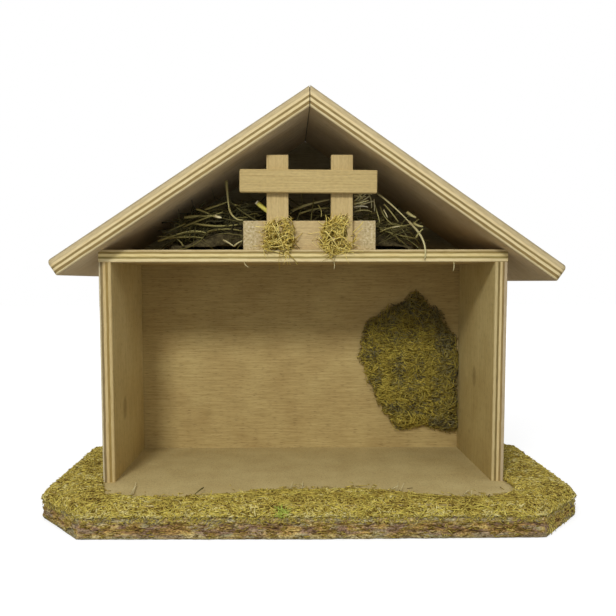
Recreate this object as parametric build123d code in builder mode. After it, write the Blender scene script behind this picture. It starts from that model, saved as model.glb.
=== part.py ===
"""Wooden nativity stable: a mossy base board, a plywood room and a fenced hay loft under a pitched roof."""

import os
from math import atan2, cos, radians, sin, sqrt, tan

from build123d import *

os.makedirs("parts", exist_ok=True)

# Base board: fibreboard with its two front corners cut off
BASE_WIDTH = 380.0
BASE_DEPTH = 155.0
BASE_THICK = 21.0
BASE_CORNER = 36.0

# Bark strips round the front and sides of the base, and the moss that lies on it
BARK_THICK = 4.0
BARK_HEIGHT = 14.0
BARK_LIFT = 0.6
BARK_PROFILE_SHARES = (
    (0.0, 0.0), (0.72, 0.0), (1.0, 0.16), (0.84, 0.34), (0.96, 0.5),
    (0.74, 0.66), (0.9, 0.84), (0.7, 1.0), (0.0, 1.0),
)
MOSS_THICK = 2.5
MOSS_ROUND = 3.5
MOSS_FRONT_BAND = 30.5
MOSS_FRONT_WANDER = 12.0
MOSS_FRONT_SHARES = (0.0, 0.1, -0.67, -0.62, 0.42, 0.67, 0.67, -0.5, -1.0, 0.1, 0.0)
MOSS_SIDE_WANDER = 12.0
MOSS_LEFT_SHARES = (0.0, -0.45, -1.0)
MOSS_RIGHT_SHARES = (0.0, 0.1, -1.0)

# Walls: five-ply boards standing on the base
HOUSE_WIDTH = 300.0
HOUSE_SHIFT = -4.0
WALL_THICK = 9.0
WALL_HEIGHT = 164.0
WALL_DEPTH = 100.0

# Loft floor lying on the walls, its upper ends bevelled to the roof
LOFT_THICK = 9.0
LOFT_BEVEL = 3.0

# Back panel: three-ply sheet over the rear edges of the walls
BACK_THICK = 4.0

# Roof: two seven-ply panels mitred at the ridge
ROOF_THICK = 12.0
ROOF_REACH = 215.5
ROOF_OVERHANG = 15.0
RIDGE_RISE = 98.8
RIDGE_GAP = 0.6
EAVE_ROUND = 4.0
EAVE_UNDER_ROUND = 1.5

# Loft fence of sawn slats
FENCE_SHIFT = 0.5
FENCE_SETBACK = 1.0
SLAT_THICK = 5.0
POST_WIDTH = 16.0
POST_SPACING = 47.0
POST_ROOF_GAP = 8.2
RAIL_WIDTH = 16.4
RAIL_DROP = 11.4
RAIL_SHIFT = -1.1
RAIL_ROOF_GAP = 7.8
RAIL_TILT = 0.5
PLANK_LENGTH = 98.0
PLANK_WIDTH = 21.5
PLANK_THICK = 8.0

# Moss tufts at the feet of the posts, and the moss patch on the back panel
TUFT_WIDTH = 25.0
TUFT_HEIGHT = 29.0
TUFT_DROP = 4.5
TUFT_BULGE = 7.0
TUFT_TAPER = 24.0
TUFT_SHIFTS = (2.0, -3.0)
TUFT_OUTLINE_SHARES = (
    (-0.36, 0.0), (0.06, 0.02), (0.38, 0.08), (0.5, 0.36), (0.42, 0.72),
    (0.16, 1.0), (-0.2, 0.96), (-0.42, 0.74), (-0.5, 0.3),
)
PATCH_WIDTH = 90.0
PATCH_HEIGHT = 126.0
PATCH_RISE = 15.0
PATCH_BULGE = 12.0
PATCH_TAPER = 30.0
PATCH_OUTLINE_SHARES = (
    (0.6, 1.0), (0.3, 0.9), (0.1, 0.8), (0.0, 0.55), (0.08, 0.4), (0.19, 0.22), (0.4, 0.02),
    (0.72, 0.03), (1.0, 0.0), (1.0, 0.66), (0.84, 0.82),
)

# Hay heaped in the loft, with loose stalks
HAY_LEFT_INSET = 34.5
HAY_RIGHT_INSET = 50.5
HAY_HEIGHT = 40.0
HAY_CLEARANCE = 0.3
HAY_SECTION_SHARES = ((0.0, 0.9, 0.55), (0.35, 1.0, 1.0), (0.7, 0.96, 0.9), (1.0, 0.86, 0.5))
STALK_RADIUS = 0.9
STALK_SIDES = 5
STALK_SHARES = (
    ((-0.28, 0.3, 0.23), (-0.27, 0.2, 0.65), (-0.235, 0.1, 0.91)),
    ((-0.12, 0.3, 0.19), (-0.12, 0.16, 0.41), (-0.1, 0.1, 0.46)),
    ((-0.38, 0.4, 0.32), (-0.43, 0.2, 0.56), (-0.47, 0.04, 0.32)),
    ((-0.3, 0.3, 0.41), (-0.36, 0.15, 0.72), (-0.43, 0.1, 0.66)),
    ((0.03, 0.3, 0.17), (0.07, 0.15, 0.41), (0.09, 0.08, 0.49)),
    ((0.16, 0.4, 0.19), (0.24, 0.2, 0.56), (0.31, 0.1, 0.63)),
    ((0.22, 0.3, 0.22), (0.35, 0.05, 0.53), (0.44, -0.14, 0.12)),
    ((0.26, 0.4, 0.24), (0.37, 0.25, 0.54), (0.45, 0.18, 0.36)),
)

# Brads of flattened wire that hold the boards together
BRAD_WIDTH = 1.3
BRAD_THICK = 1.1
BRAD_HEAD_WIDTH = 2.2
BRAD_HEAD_DEEP = 0.9
BRAD_FIT = 0.05
BRAD_BITE = 18.0
ROOF_BRAD_BITE = 6.5
RIDGE_BRAD_BITE = 16.0
RIDGE_BRAD_SINK = 0.4
BASE_BRAD_SHARES = (0.2, 0.5, 0.8)
LOFT_BRAD_SHARES = (0.2, 0.5, 0.8)
ROOF_BRAD_SHARES = (0.1, 0.35, 0.65, 0.9)
RIDGE_BRAD_SHARES = (0.15, 0.5, 0.85)
BACK_WALL_BRAD_SHARES = (0.3, 0.6, 0.85)
BACK_LOFT_BRAD_SHARES = (0.25, 0.5, 0.75)

# Sawn edges are lightly sanded; cuts run past the faces that they open
EDGE_EASE = 0.5
OVERRUN = 5.0

# Places worked out from the sizes above: origin at the middle of the outline, on the underside
REAR_Y = (BASE_DEPTH + BARK_THICK) / 2
BASE_FRONT_Y = REAR_Y - BASE_DEPTH
WALL_REAR_Y = REAR_Y - BACK_THICK
WALL_FRONT_Y = WALL_REAR_Y - WALL_DEPTH
HOUSE_LEFT_X = HOUSE_SHIFT - HOUSE_WIDTH / 2
HOUSE_RIGHT_X = HOUSE_SHIFT + HOUSE_WIDTH / 2
WALL_TOP_Z = BASE_THICK + WALL_HEIGHT
LOFT_TOP_Z = WALL_TOP_Z + LOFT_THICK
RIDGE_Z = LOFT_TOP_Z + RIDGE_RISE
ROOF_FRONT_Y = WALL_FRONT_Y - ROOF_OVERHANG
ROOF_DEPTH = REAR_Y - ROOF_FRONT_Y
LEFT_PITCH = atan2(RIDGE_RISE, -HOUSE_LEFT_X - LOFT_BEVEL)
RIGHT_PITCH = atan2(RIDGE_RISE, HOUSE_RIGHT_X - LOFT_BEVEL)
POST_FRONT_Y = WALL_FRONT_Y + FENCE_SETBACK
PLANK_FRONT_Y = POST_FRONT_Y + SLAT_THICK
PLANK_REAR_Y = PLANK_FRONT_Y + PLANK_THICK
HAY_FRONT_Y = PLANK_REAR_Y + HAY_CLEARANCE
HAY_DEPTH = WALL_REAR_Y - HAY_CLEARANCE - HAY_FRONT_Y
HAY_WIDTH = HOUSE_WIDTH - HAY_LEFT_INSET - HAY_RIGHT_INSET
HAY_MIDDLE_X = HOUSE_LEFT_X + HAY_LEFT_INSET + HAY_WIDTH / 2
BRAD_ALIGN = (Align.CENTER, Align.CENTER, Align.MAX)


def save(builder, name):
    """Labels a finished piece and writes it to its own file."""
    builder.part.label = name
    export_step(builder.part, f"parts/{name}.step")


def along_depth(share):
    """Y of a place at a share of the walls' depth, from their front edge."""
    return WALL_FRONT_Y + share * WALL_DEPTH


def roof_room(x):
    """Height from the loft's upper face to the underside of the roof at a place across the house."""
    eave_x = HOUSE_RIGHT_X - LOFT_BEVEL if x > 0 else HOUSE_LEFT_X + LOFT_BEVEL
    return RIDGE_RISE * (1 - x / eave_x)


def base_outline(grow):
    """Draws the base outline in the current sketch, grown by a thickness on its front and sides."""
    half = BASE_WIDTH / 2 + grow
    front = BASE_FRONT_Y - grow
    cut = BASE_CORNER + grow * (2 - sqrt(2))
    Polygon(
        (-half, REAR_Y),
        (-half, front + cut),
        (-half + cut, front),
        (half - cut, front),
        (half, front + cut),
        (half, REAR_Y),
        align=None,
    )


def slat(width, height, thick, centre, tilt=0.0):
    """Builds a sawn slat whose rear face lies in the centre's Y, with its length across or upright."""
    lean = Plane(origin=centre, z_dir=(0, -1, 0), x_dir=(cos(tilt), 0, -sin(tilt)))
    with BuildPart() as piece:
        with BuildSketch(lean):
            Rectangle(width, height)
        extrude(amount=thick)
        chamfer(piece.edges(), EDGE_EASE)
    return piece


def drill_brads(places, length):
    """Opens slots for brads in the part being built, from above each head inwards."""
    width = BRAD_WIDTH + 2 * BRAD_FIT
    thick = BRAD_THICK + 2 * BRAD_FIT
    head_width = BRAD_HEAD_WIDTH + 2 * BRAD_FIT
    with Locations(*[place.offset(OVERRUN) for place in places]):
        Box(width, thick, OVERRUN + length + BRAD_FIT, align=BRAD_ALIGN, mode=Mode.SUBTRACT)
        Box(head_width, thick, OVERRUN + BRAD_HEAD_DEEP, align=BRAD_ALIGN, mode=Mode.SUBTRACT)


def make_brads(places, length):
    """Builds one brad at each place, its head flush with the face there."""
    with BuildPart() as brads:
        with Locations(*places):
            Box(BRAD_WIDTH, BRAD_THICK, length, align=BRAD_ALIGN)
            Box(BRAD_HEAD_WIDTH, BRAD_THICK, BRAD_HEAD_DEEP, align=BRAD_ALIGN)
    return brads


# Places of the brads: each plane lies on the face under the head and faces outwards
wall_middles = (HOUSE_LEFT_X + WALL_THICK / 2, HOUSE_RIGHT_X - WALL_THICK / 2)
base_brad_places = [
    Plane(origin=(x, along_depth(share), 0), x_dir=(0, 1, 0), z_dir=(0, 0, -1))
    for x in wall_middles
    for share in BASE_BRAD_SHARES
]
base_brad_length = BASE_THICK + BRAD_BITE

loft_brad_inset = (LOFT_BEVEL + WALL_THICK) / 2
loft_brad_places = [
    Plane(origin=(x, along_depth(share), LOFT_TOP_Z), x_dir=(0, 1, 0), z_dir=(0, 0, 1))
    for x in (HOUSE_LEFT_X + loft_brad_inset, HOUSE_RIGHT_X - loft_brad_inset)
    for share in LOFT_BRAD_SHARES
]
loft_brad_length = LOFT_THICK + BRAD_BITE

back_brad_places = [
    Plane(origin=(x, REAR_Y, BASE_THICK + share * WALL_HEIGHT), x_dir=(0, 0, 1), z_dir=(0, 1, 0))
    for x in wall_middles
    for share in BACK_WALL_BRAD_SHARES
]
loft_middle_z = WALL_TOP_Z + LOFT_THICK / 2
back_brad_places += [
    Plane(
        origin=(HOUSE_LEFT_X + share * HOUSE_WIDTH, REAR_Y, loft_middle_z),
        x_dir=(1, 0, 0),
        z_dir=(0, 1, 0),
    )
    for share in BACK_LOFT_BRAD_SHARES
]
back_brad_length = BACK_THICK + BRAD_BITE


def roof_normal(side, pitch):
    """Direction that the upper face of a roof panel looks in."""
    return Vector(side * sin(pitch), 0, cos(pitch))


def roof_brad_places(side, pitch):
    """Places on a roof panel straight above the middle of the loft's bevelled end."""
    end_x = HOUSE_RIGHT_X if side > 0 else HOUSE_LEFT_X
    seat_x = end_x - side * LOFT_BEVEL / 2
    seat_z = LOFT_TOP_Z - LOFT_BEVEL / 2 * tan(pitch)
    normal = roof_normal(side, pitch)
    return [
        Plane(
            origin=Vector(seat_x, along_depth(share), seat_z) + normal * ROOF_THICK,
            x_dir=(0, 1, 0),
            z_dir=normal,
        )
        for share in ROOF_BRAD_SHARES
    ]


left_roof_brads = roof_brad_places(-1, LEFT_PITCH)
right_roof_brads = roof_brad_places(1, RIGHT_PITCH)
roof_brad_length = ROOF_THICK + ROOF_BRAD_BITE

# Ridge brads run down the middle of the right panel, through the tip of the left one
ridge_core_z = RIDGE_Z + ROOF_THICK / 2 / cos(RIGHT_PITCH)
ridge_left_top_z = RIDGE_Z + ROOF_THICK / cos(LEFT_PITCH)
ridge_brad_run = (ridge_left_top_z - ridge_core_z) / (sin(RIGHT_PITCH) + cos(RIGHT_PITCH) * tan(LEFT_PITCH))
ridge_brad_lead = ridge_brad_run - RIDGE_BRAD_SINK
ridge_brad_axis = Vector(-cos(RIGHT_PITCH), 0, sin(RIGHT_PITCH))
ridge_brad_places = [
    Plane(
        origin=Vector(0, ROOF_FRONT_Y + share * ROOF_DEPTH, ridge_core_z) + ridge_brad_axis * ridge_brad_lead,
        x_dir=(0, 1, 0),
        z_dir=ridge_brad_axis,
    )
    for share in RIDGE_BRAD_SHARES
]
ridge_brad_length = ridge_brad_lead + RIDGE_BRAD_BITE

# Base board
with BuildPart() as base_board:
    with BuildSketch():
        base_outline(0)
    extrude(amount=BASE_THICK)
    chamfer(base_board.faces().sort_by(Axis.Z)[0].edges(), EDGE_EASE)
    drill_brads(base_brad_places, base_brad_length)
save(base_board, "base_board")

# Bark strips: one flaky profile run along each edge and mitred at the cut corners
half_width = BASE_WIDTH / 2
edge_points = [
    Vector(-half_width, REAR_Y, BARK_LIFT),
    Vector(-half_width, BASE_FRONT_Y + BASE_CORNER, BARK_LIFT),
    Vector(-half_width + BASE_CORNER, BASE_FRONT_Y, BARK_LIFT),
    Vector(half_width - BASE_CORNER, BASE_FRONT_Y, BARK_LIFT),
    Vector(half_width, BASE_FRONT_Y + BASE_CORNER, BARK_LIFT),
    Vector(half_width, REAR_Y, BARK_LIFT),
]
edge_names = ("bark_left", "bark_corner_left", "bark_front", "bark_corner_right", "bark_right")
edge_runs = [(end - start).normalized() for start, end in zip(edge_points, edge_points[1:])]
mitre_runs = [edge_runs[0], *[a + b for a, b in zip(edge_runs, edge_runs[1:])], edge_runs[-1]]
bark_rise = BARK_HEIGHT - BARK_LIFT

for index, strip_name in enumerate(edge_names):
    start, end, run = edge_points[index], edge_points[index + 1], edge_runs[index]
    outward = run.cross(Vector(0, 0, 1))
    section = Plane(origin=start - run * OVERRUN, x_dir=outward, z_dir=run)
    upward = 1 if section.y_dir.Z > 0 else -1
    with BuildPart() as bark_strip:
        with BuildSketch(section):
            Polygon(
                *[(out * BARK_THICK, upward * up * bark_rise) for out, up in BARK_PROFILE_SHARES],
                align=None,
            )
        extrude(amount=(end - start).length + 2 * OVERRUN)
        split(bisect_by=Plane(origin=start, z_dir=mitre_runs[index]), keep=Keep.TOP)
        split(bisect_by=Plane(origin=end, z_dir=mitre_runs[index + 1]), keep=Keep.BOTTOM)
    save(bark_strip, strip_name)


def moss_mat(outer, inner, beside=()):
    """Builds a moss mat over part of the base, hanging over the edge down to the bark.

    The mat fills the plan between its outer path and its wandering inner edge, up to the mats beside it.
    """
    lift = Plane.XY.offset(BARK_HEIGHT)
    mat_height = BASE_THICK + MOSS_THICK - BARK_HEIGHT
    with BuildPart() as mat:
        with BuildSketch(lift):
            base_outline(BARK_THICK)
        extrude(amount=mat_height)
        rim = mat.faces().sort_by(Axis.Z)[-1].edges().sort_by(Axis.Y)[:-1]
        chamfer(rim, MOSS_ROUND)
        with BuildSketch(lift):
            with BuildLine():
                Polyline(inner[-1], *outer, inner[0])
                Spline(*inner)
            make_face()
        extrude(amount=mat_height, mode=Mode.INTERSECT)
        with BuildSketch(lift):
            base_outline(0)
        extrude(amount=BASE_THICK - BARK_HEIGHT, mode=Mode.SUBTRACT)
        for neighbour in beside:
            add(neighbour.part, mode=Mode.SUBTRACT)
    return mat


# Moss on the base: a front band and a mat beside each wall, clear of the bare floor before the room
outer_half = half_width + BARK_THICK + OVERRUN
outer_front = BASE_FRONT_Y - BARK_THICK - OVERRUN
band_edge_y = BASE_FRONT_Y - BARK_THICK + MOSS_FRONT_BAND
band_steps = len(MOSS_FRONT_SHARES) - 1
band_edge = [
    (outer_half * (2 * step / band_steps - 1), band_edge_y + wander * MOSS_FRONT_WANDER)
    for step, wander in enumerate(MOSS_FRONT_SHARES)
]
moss_front = moss_mat([(outer_half, outer_front), (-outer_half, outer_front)], band_edge)
save(moss_front, "moss_front")

mat_front_y = band_edge_y - MOSS_FRONT_WANDER
mat_run_y = mat_front_y - WALL_FRONT_Y
for mat_name, wall_x, side, wander_shares in (
    ("moss_left", HOUSE_LEFT_X, -1, MOSS_LEFT_SHARES),
    ("moss_right", HOUSE_RIGHT_X, 1, MOSS_RIGHT_SHARES),
):
    side_steps = len(wander_shares) - 1
    side_edge = [
        (wall_x + side * wander * MOSS_SIDE_WANDER, WALL_FRONT_Y + mat_run_y * step / side_steps)
        for step, wander in enumerate(wander_shares)
    ]
    outer_path = [(side * outer_half, mat_front_y), (side * outer_half, REAR_Y), (wall_x, REAR_Y)]
    moss_side = moss_mat(outer_path, side_edge, beside=[moss_front])
    save(moss_side, mat_name)

# Walls
for wall_name, wall_x in (("left_wall", wall_middles[0]), ("right_wall", wall_middles[1])):
    with BuildPart() as wall:
        with BuildSketch(Plane(origin=(wall_x, along_depth(1 / 2), BASE_THICK))):
            Rectangle(WALL_THICK, WALL_DEPTH)
        extrude(amount=WALL_HEIGHT)
        chamfer(wall.edges().filter_by(Axis.Z), EDGE_EASE)
        drill_brads(base_brad_places, base_brad_length)
        drill_brads(loft_brad_places, loft_brad_length)
        drill_brads(back_brad_places, back_brad_length)
    save(wall, wall_name)

# Loft floor
with BuildPart() as loft_floor:
    with BuildSketch(Plane.XZ.offset(-WALL_REAR_Y)):
        with BuildLine():
            Polyline(
                (HOUSE_LEFT_X, WALL_TOP_Z),
                (HOUSE_RIGHT_X, WALL_TOP_Z),
                (HOUSE_RIGHT_X, LOFT_TOP_Z - LOFT_BEVEL * tan(RIGHT_PITCH)),
                (HOUSE_RIGHT_X - LOFT_BEVEL, LOFT_TOP_Z),
                (HOUSE_LEFT_X + LOFT_BEVEL, LOFT_TOP_Z),
                (HOUSE_LEFT_X, LOFT_TOP_Z - LOFT_BEVEL * tan(LEFT_PITCH)),
                close=True,
            )
        make_face()
    extrude(amount=WALL_DEPTH)
    chamfer(loft_floor.faces().sort_by(Axis.Y)[0].edges().filter_by(Axis.X), EDGE_EASE)
    drill_brads(loft_brad_places, loft_brad_length)
    drill_brads(back_brad_places, back_brad_length)
    drill_brads(left_roof_brads + right_roof_brads, roof_brad_length)
save(loft_floor, "loft_floor")

# Back panel: house-shaped, its sloping edges under the roof
with BuildPart() as back_panel:
    with BuildSketch(Plane.XZ.offset(-REAR_Y)):
        with BuildLine():
            Polyline(
                (HOUSE_LEFT_X, BASE_THICK),
                (HOUSE_RIGHT_X, BASE_THICK),
                (HOUSE_RIGHT_X, LOFT_TOP_Z - LOFT_BEVEL * tan(RIGHT_PITCH)),
                (0, RIDGE_Z),
                (HOUSE_LEFT_X, LOFT_TOP_Z - LOFT_BEVEL * tan(LEFT_PITCH)),
                close=True,
            )
        make_face()
    extrude(amount=BACK_THICK)
    drill_brads(back_brad_places, back_brad_length)
save(back_panel, "back_panel")


def roof_panel(side, pitch, brad_places):
    """Builds a roof panel on its sloping plane, mitred upright at the ridge, its eave end sanded round."""
    slope = Plane(
        origin=(0, ROOF_FRONT_Y + ROOF_DEPTH / 2, RIDGE_Z),
        x_dir=(side * cos(pitch), 0, -sin(pitch)),
        z_dir=roof_normal(side, pitch),
    )
    past_ridge = ROOF_THICK * tan(pitch) + OVERRUN
    with BuildPart() as panel:
        with BuildSketch(slope):
            with Locations(((ROOF_REACH - past_ridge) / 2, 0)):
                Rectangle(ROOF_REACH + past_ridge, ROOF_DEPTH)
        extrude(amount=ROOF_THICK)
        mitre = Plane(origin=(side * RIDGE_GAP / 2, 0, 0), z_dir=(side, 0, 0))
        split(bisect_by=mitre, keep=Keep.TOP)
        eave_end = panel.faces().sort_by(Axis((0, 0, 0), slope.x_dir))[-1]
        fillet(eave_end.edges().sort_by(Axis.Z)[1:], EAVE_ROUND)
        fillet(panel.edges().filter_by(Axis.Y).sort_by(Axis.Z)[0], EAVE_UNDER_ROUND)
        drill_brads(brad_places, roof_brad_length)
        drill_brads(ridge_brad_places, ridge_brad_length)
    return panel


roof_left = roof_panel(-1, LEFT_PITCH, left_roof_brads)
save(roof_left, "roof_left")
roof_right = roof_panel(1, RIGHT_PITCH, right_roof_brads)
save(roof_right, "roof_right")

# Fence: the plank stands on the loft, the posts are fixed before it and the rail before the posts
post_xs = (FENCE_SHIFT - POST_SPACING / 2, FENCE_SHIFT + POST_SPACING / 2)
post_height = roof_room(post_xs[1] + POST_WIDTH / 2) - POST_ROOF_GAP
post_z = LOFT_TOP_Z + post_height / 2
rail_top = post_height - RAIL_DROP
rail_end_x = (HOUSE_RIGHT_X - LOFT_BEVEL) * (1 - (rail_top + RAIL_ROOF_GAP) / RIDGE_RISE)
rail_middle_x = FENCE_SHIFT + RAIL_SHIFT
rail_length = 2 * (rail_end_x - rail_middle_x)
fence_plank = slat(
    PLANK_LENGTH, PLANK_WIDTH, PLANK_THICK, (FENCE_SHIFT, PLANK_REAR_Y, LOFT_TOP_Z + PLANK_WIDTH / 2)
)
save(fence_plank, "fence_plank")
fence_posts = [slat(POST_WIDTH, post_height, SLAT_THICK, (x, PLANK_FRONT_Y, post_z)) for x in post_xs]
save(fence_posts[0], "fence_post_left")
save(fence_posts[1], "fence_post_right")
rail_centre = (rail_middle_x, POST_FRONT_Y, LOFT_TOP_Z + rail_top - RAIL_WIDTH / 2)
fence_rail = slat(rail_length, RAIL_WIDTH, SLAT_THICK, rail_centre, radians(RAIL_TILT))
save(fence_rail, "fence_rail")

# Moss tufts wrapped round the feet of the posts and over the loft's front edge
tuft_names = ("moss_tuft_left", "moss_tuft_right")
for tuft_name, post, post_x, shift in zip(tuft_names, fence_posts, post_xs, TUFT_SHIFTS):
    tuft_foot = Plane(
        origin=(post_x + shift, WALL_FRONT_Y, LOFT_TOP_Z - TUFT_DROP),
        z_dir=(0, -1, 0),
        x_dir=(1, 0, 0),
    )
    with BuildPart() as tuft:
        with BuildSketch(tuft_foot) as tuft_outline:
            Polygon(*[(x * TUFT_WIDTH, z * TUFT_HEIGHT) for x, z in TUFT_OUTLINE_SHARES], align=None)
        extrude(amount=TUFT_BULGE, taper=TUFT_TAPER)
        extrude(tuft_outline.sketch, amount=WALL_FRONT_Y - PLANK_FRONT_Y)
        add(post.part, mode=Mode.SUBTRACT)
        add(loft_floor.part, mode=Mode.SUBTRACT)
    save(tuft, tuft_name)

# Moss patch on the back panel, in the corner by the right wall
patch_corner = Plane(
    origin=(HOUSE_RIGHT_X - WALL_THICK - PATCH_WIDTH, WALL_REAR_Y, BASE_THICK + PATCH_RISE),
    z_dir=(0, -1, 0),
    x_dir=(1, 0, 0),
)
with BuildPart() as moss_patch:
    with BuildSketch(patch_corner):
        Polygon(*[(x * PATCH_WIDTH, z * PATCH_HEIGHT) for x, z in PATCH_OUTLINE_SHARES], align=None)
    extrude(amount=PATCH_BULGE, taper=PATCH_TAPER)
save(moss_patch, "moss_patch")

# Hay heap: low rounded sections lofted from the plank to the back panel
with BuildPart() as hay_heap:
    for depth, width, height in HAY_SECTION_SHARES:
        section_y = HAY_FRONT_Y + depth * HAY_DEPTH
        half_heap = width * HAY_WIDTH / 2
        heap_middle = (HAY_MIDDLE_X, section_y, LOFT_TOP_Z)
        with BuildSketch(Plane(origin=heap_middle, z_dir=(0, -1, 0), x_dir=(1, 0, 0))):
            with BuildLine():
                Line((-half_heap, 0), (half_heap, 0))
                ThreePointArc((half_heap, 0), (0, height * HAY_HEIGHT), (-half_heap, 0))
            make_face()
    loft(ruled=True)
save(hay_heap, "hay_heap")


def hay_point(shares):
    """Point in the loft at shares of the hay heap's width and depth and of the room under the roof there."""
    across, back, up = shares
    x = HAY_MIDDLE_X + across * HAY_WIDTH
    return Vector(x, HAY_FRONT_Y + back * HAY_DEPTH, LOFT_TOP_Z + up * roof_room(x))


# Loose stalks that stand out of the heap
with BuildPart() as hay_stalks:
    for stalk in STALK_SHARES:
        with BuildLine() as bend:
            ThreePointArc(*[hay_point(place) for place in stalk])
        with BuildSketch(Plane(origin=bend.line @ 0, z_dir=bend.line % 0)):
            RegularPolygon(STALK_RADIUS, STALK_SIDES)
        sweep(path=bend.line)
    add(hay_heap.part, mode=Mode.SUBTRACT)
save(hay_stalks, "hay_stalks")

# Brads
save(make_brads(base_brad_places, base_brad_length), "base_brads")
save(make_brads(loft_brad_places, loft_brad_length), "loft_brads")
save(make_brads(back_brad_places, back_brad_length), "back_brads")
save(make_brads(left_roof_brads + right_roof_brads, roof_brad_length), "roof_brads")
save(make_brads(ridge_brad_places, ridge_brad_length), "ridge_brads")
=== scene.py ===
"""Looks of the wooden nativity stable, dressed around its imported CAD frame.

The boards, the fence and the brads stay the CAD's own solids and get wood, fibreboard and steel finishes.
The bark, the moss and the hay are grown here from strips, mats and single strands, and stand for their
plain solids.
"""

import logging
import math
from dataclasses import dataclass, field, replace
from enum import Enum

import bpy
import numpy as np
from mathutils import Euler, Matrix, Vector, noise


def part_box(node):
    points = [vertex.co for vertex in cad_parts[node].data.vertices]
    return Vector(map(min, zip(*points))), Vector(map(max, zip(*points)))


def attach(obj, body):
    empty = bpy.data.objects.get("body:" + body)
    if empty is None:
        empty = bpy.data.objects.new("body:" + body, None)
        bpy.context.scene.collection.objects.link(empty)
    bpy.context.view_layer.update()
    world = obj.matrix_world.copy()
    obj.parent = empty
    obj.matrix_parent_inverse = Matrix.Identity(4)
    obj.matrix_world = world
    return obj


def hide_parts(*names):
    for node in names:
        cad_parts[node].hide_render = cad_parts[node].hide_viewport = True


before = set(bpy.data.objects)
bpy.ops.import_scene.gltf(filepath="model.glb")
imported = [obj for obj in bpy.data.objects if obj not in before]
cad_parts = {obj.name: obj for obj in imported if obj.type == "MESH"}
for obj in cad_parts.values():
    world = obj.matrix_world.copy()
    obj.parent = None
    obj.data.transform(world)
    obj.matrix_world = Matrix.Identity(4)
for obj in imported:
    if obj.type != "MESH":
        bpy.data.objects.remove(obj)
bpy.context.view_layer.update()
MM = 0.001
STRAND_MAP = "OFBake"
STRAND_TONES = 32
BARK_PLACE = "bark_place"
BARK_TONE = "bark_tone"
WELD = 0.02 * MM
LOFT_BEVEL = 3 * MM
RIDGE_RISE = 98.8 * MM
UP = np.array((0.0, 0.0, 1.0))
MIXED = {"data_type": "RGBA"}
MULTIPLIED = {"data_type": "RGBA", "blend_type": "MULTIPLY"}
SOFTENED = {"data_type": "RGBA", "blend_type": "SOFT_LIGHT"}
OVERLAID = {"data_type": "RGBA", "blend_type": "OVERLAY"}
log = logging.getLogger("stable")


class Lay(Enum):
    """How the strands of a bed lie on what carries them."""

    MATTED = "matted"
    CURLED = "curled"


class Level(Enum):
    """What is known of a place beside where it is seen: how deep it lies, or how high."""

    DEPTH = 1
    HEIGHT = 2


def hex_colour(value: str) -> tuple[float, float, float, float]:
    """Turns a colour into what the shaders take.

    Args:
        value: sRGB colour as #RRGGBB.

    Returns:
        The linear colour, with an alpha of 1.
    """
    channels = [int(value[at:at + 2], 16) / 255 for at in (1, 3, 5)]
    return (*(c / 12.92 if c <= 0.04045 else ((c + 0.055) / 1.055) ** 2.4 for c in channels), 1.0)


def add_node(
    tree: bpy.types.NodeTree,
    kind: str,
    links: dict | None = None,
    stops: tuple[tuple[float, str], ...] = (),
    **settings: object,
) -> bpy.types.NodeOutputs:
    """Adds one shader node with its settings, values and links.

    A Mix node takes its share at 0 and its colours at 6 and 7, and gives the mixed colour at 2.

    Args:
        tree: The material's or world's node tree.
        kind: The node's type, without the word ShaderNode.
        links: For each input, by name or number, a value or the output that feeds it.
        stops: For a colour ramp, each stop's place and sRGB colour.
        settings: The node's own properties.

    Returns:
        The node's outputs.
    """
    node = tree.nodes.new("ShaderNode" + kind)
    for name, value in settings.items():
        setattr(node, name, value)
    for socket, value in (links or {}).items():
        if isinstance(value, bpy.types.NodeSocket):
            tree.links.new(value, node.inputs[socket])
        else:
            node.inputs[socket].default_value = value
    for index, (place, colour) in enumerate(stops):
        ramp = node.color_ramp.elements
        stop = ramp[index] if index < len(ramp) else ramp.new(place)
        stop.position = place
        stop.color = hex_colour(colour)
    return node.outputs


def clear_selection() -> None:
    """Leaves nothing selected, so that an operator acts on its own piece alone."""
    if bpy.context.mode != "OBJECT":
        bpy.ops.object.mode_set(mode="OBJECT")
    bpy.ops.object.select_all(action="DESELECT")


def make_active(piece: bpy.types.Object) -> None:
    """Selects one piece alone and makes it the active one.

    Args:
        piece: The piece to work on.
    """
    clear_selection()
    piece.select_set(True)
    bpy.context.view_layer.objects.active = piece


def apply_modifier(piece: bpy.types.Object, kind: str, **settings: object) -> None:
    """Puts a modifier on a piece and applies it.

    Args:
        piece: The piece to change.
        kind: The modifier's type.
        settings: The modifier's own properties.
    """
    make_active(piece)
    modifier = piece.modifiers.new(kind.lower(), kind)
    for name, value in settings.items():
        setattr(modifier, name, value)
    bpy.ops.object.modifier_apply(modifier=modifier.name)


def copy_of_node(node: str, name: str) -> bpy.types.Object:
    """Copies a CAD node to work on, with its loose triangles merged.

    Args:
        node: The CAD node's name.
        name: The new piece's name.

    Returns:
        The copy, as an object of its own.
    """
    piece = bpy.data.objects.new(name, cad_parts[node].data.copy())
    piece.data.name = name
    bpy.context.scene.collection.objects.link(piece)
    piece.data.materials.clear()
    make_active(piece)
    bpy.ops.object.mode_set(mode="EDIT")
    bpy.ops.mesh.select_all(action="SELECT")
    bpy.ops.mesh.remove_doubles(threshold=WELD)
    bpy.ops.object.mode_set(mode="OBJECT")
    return piece


def vertex_places(piece: bpy.types.Object) -> np.ndarray:
    """Reads where a piece's vertices are.

    Args:
        piece: The piece.

    Returns:
        Rows of x, y, z.
    """
    places = np.empty(len(piece.data.vertices) * 3)
    piece.data.vertices.foreach_get("co", places)
    return places.reshape(-1, 3)


def place_vertices(piece: bpy.types.Object, places: np.ndarray) -> None:
    """Moves a piece's vertices to rows of x, y, z."""
    piece.data.vertices.foreach_set("co", places.ravel())
    piece.data.update()


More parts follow.
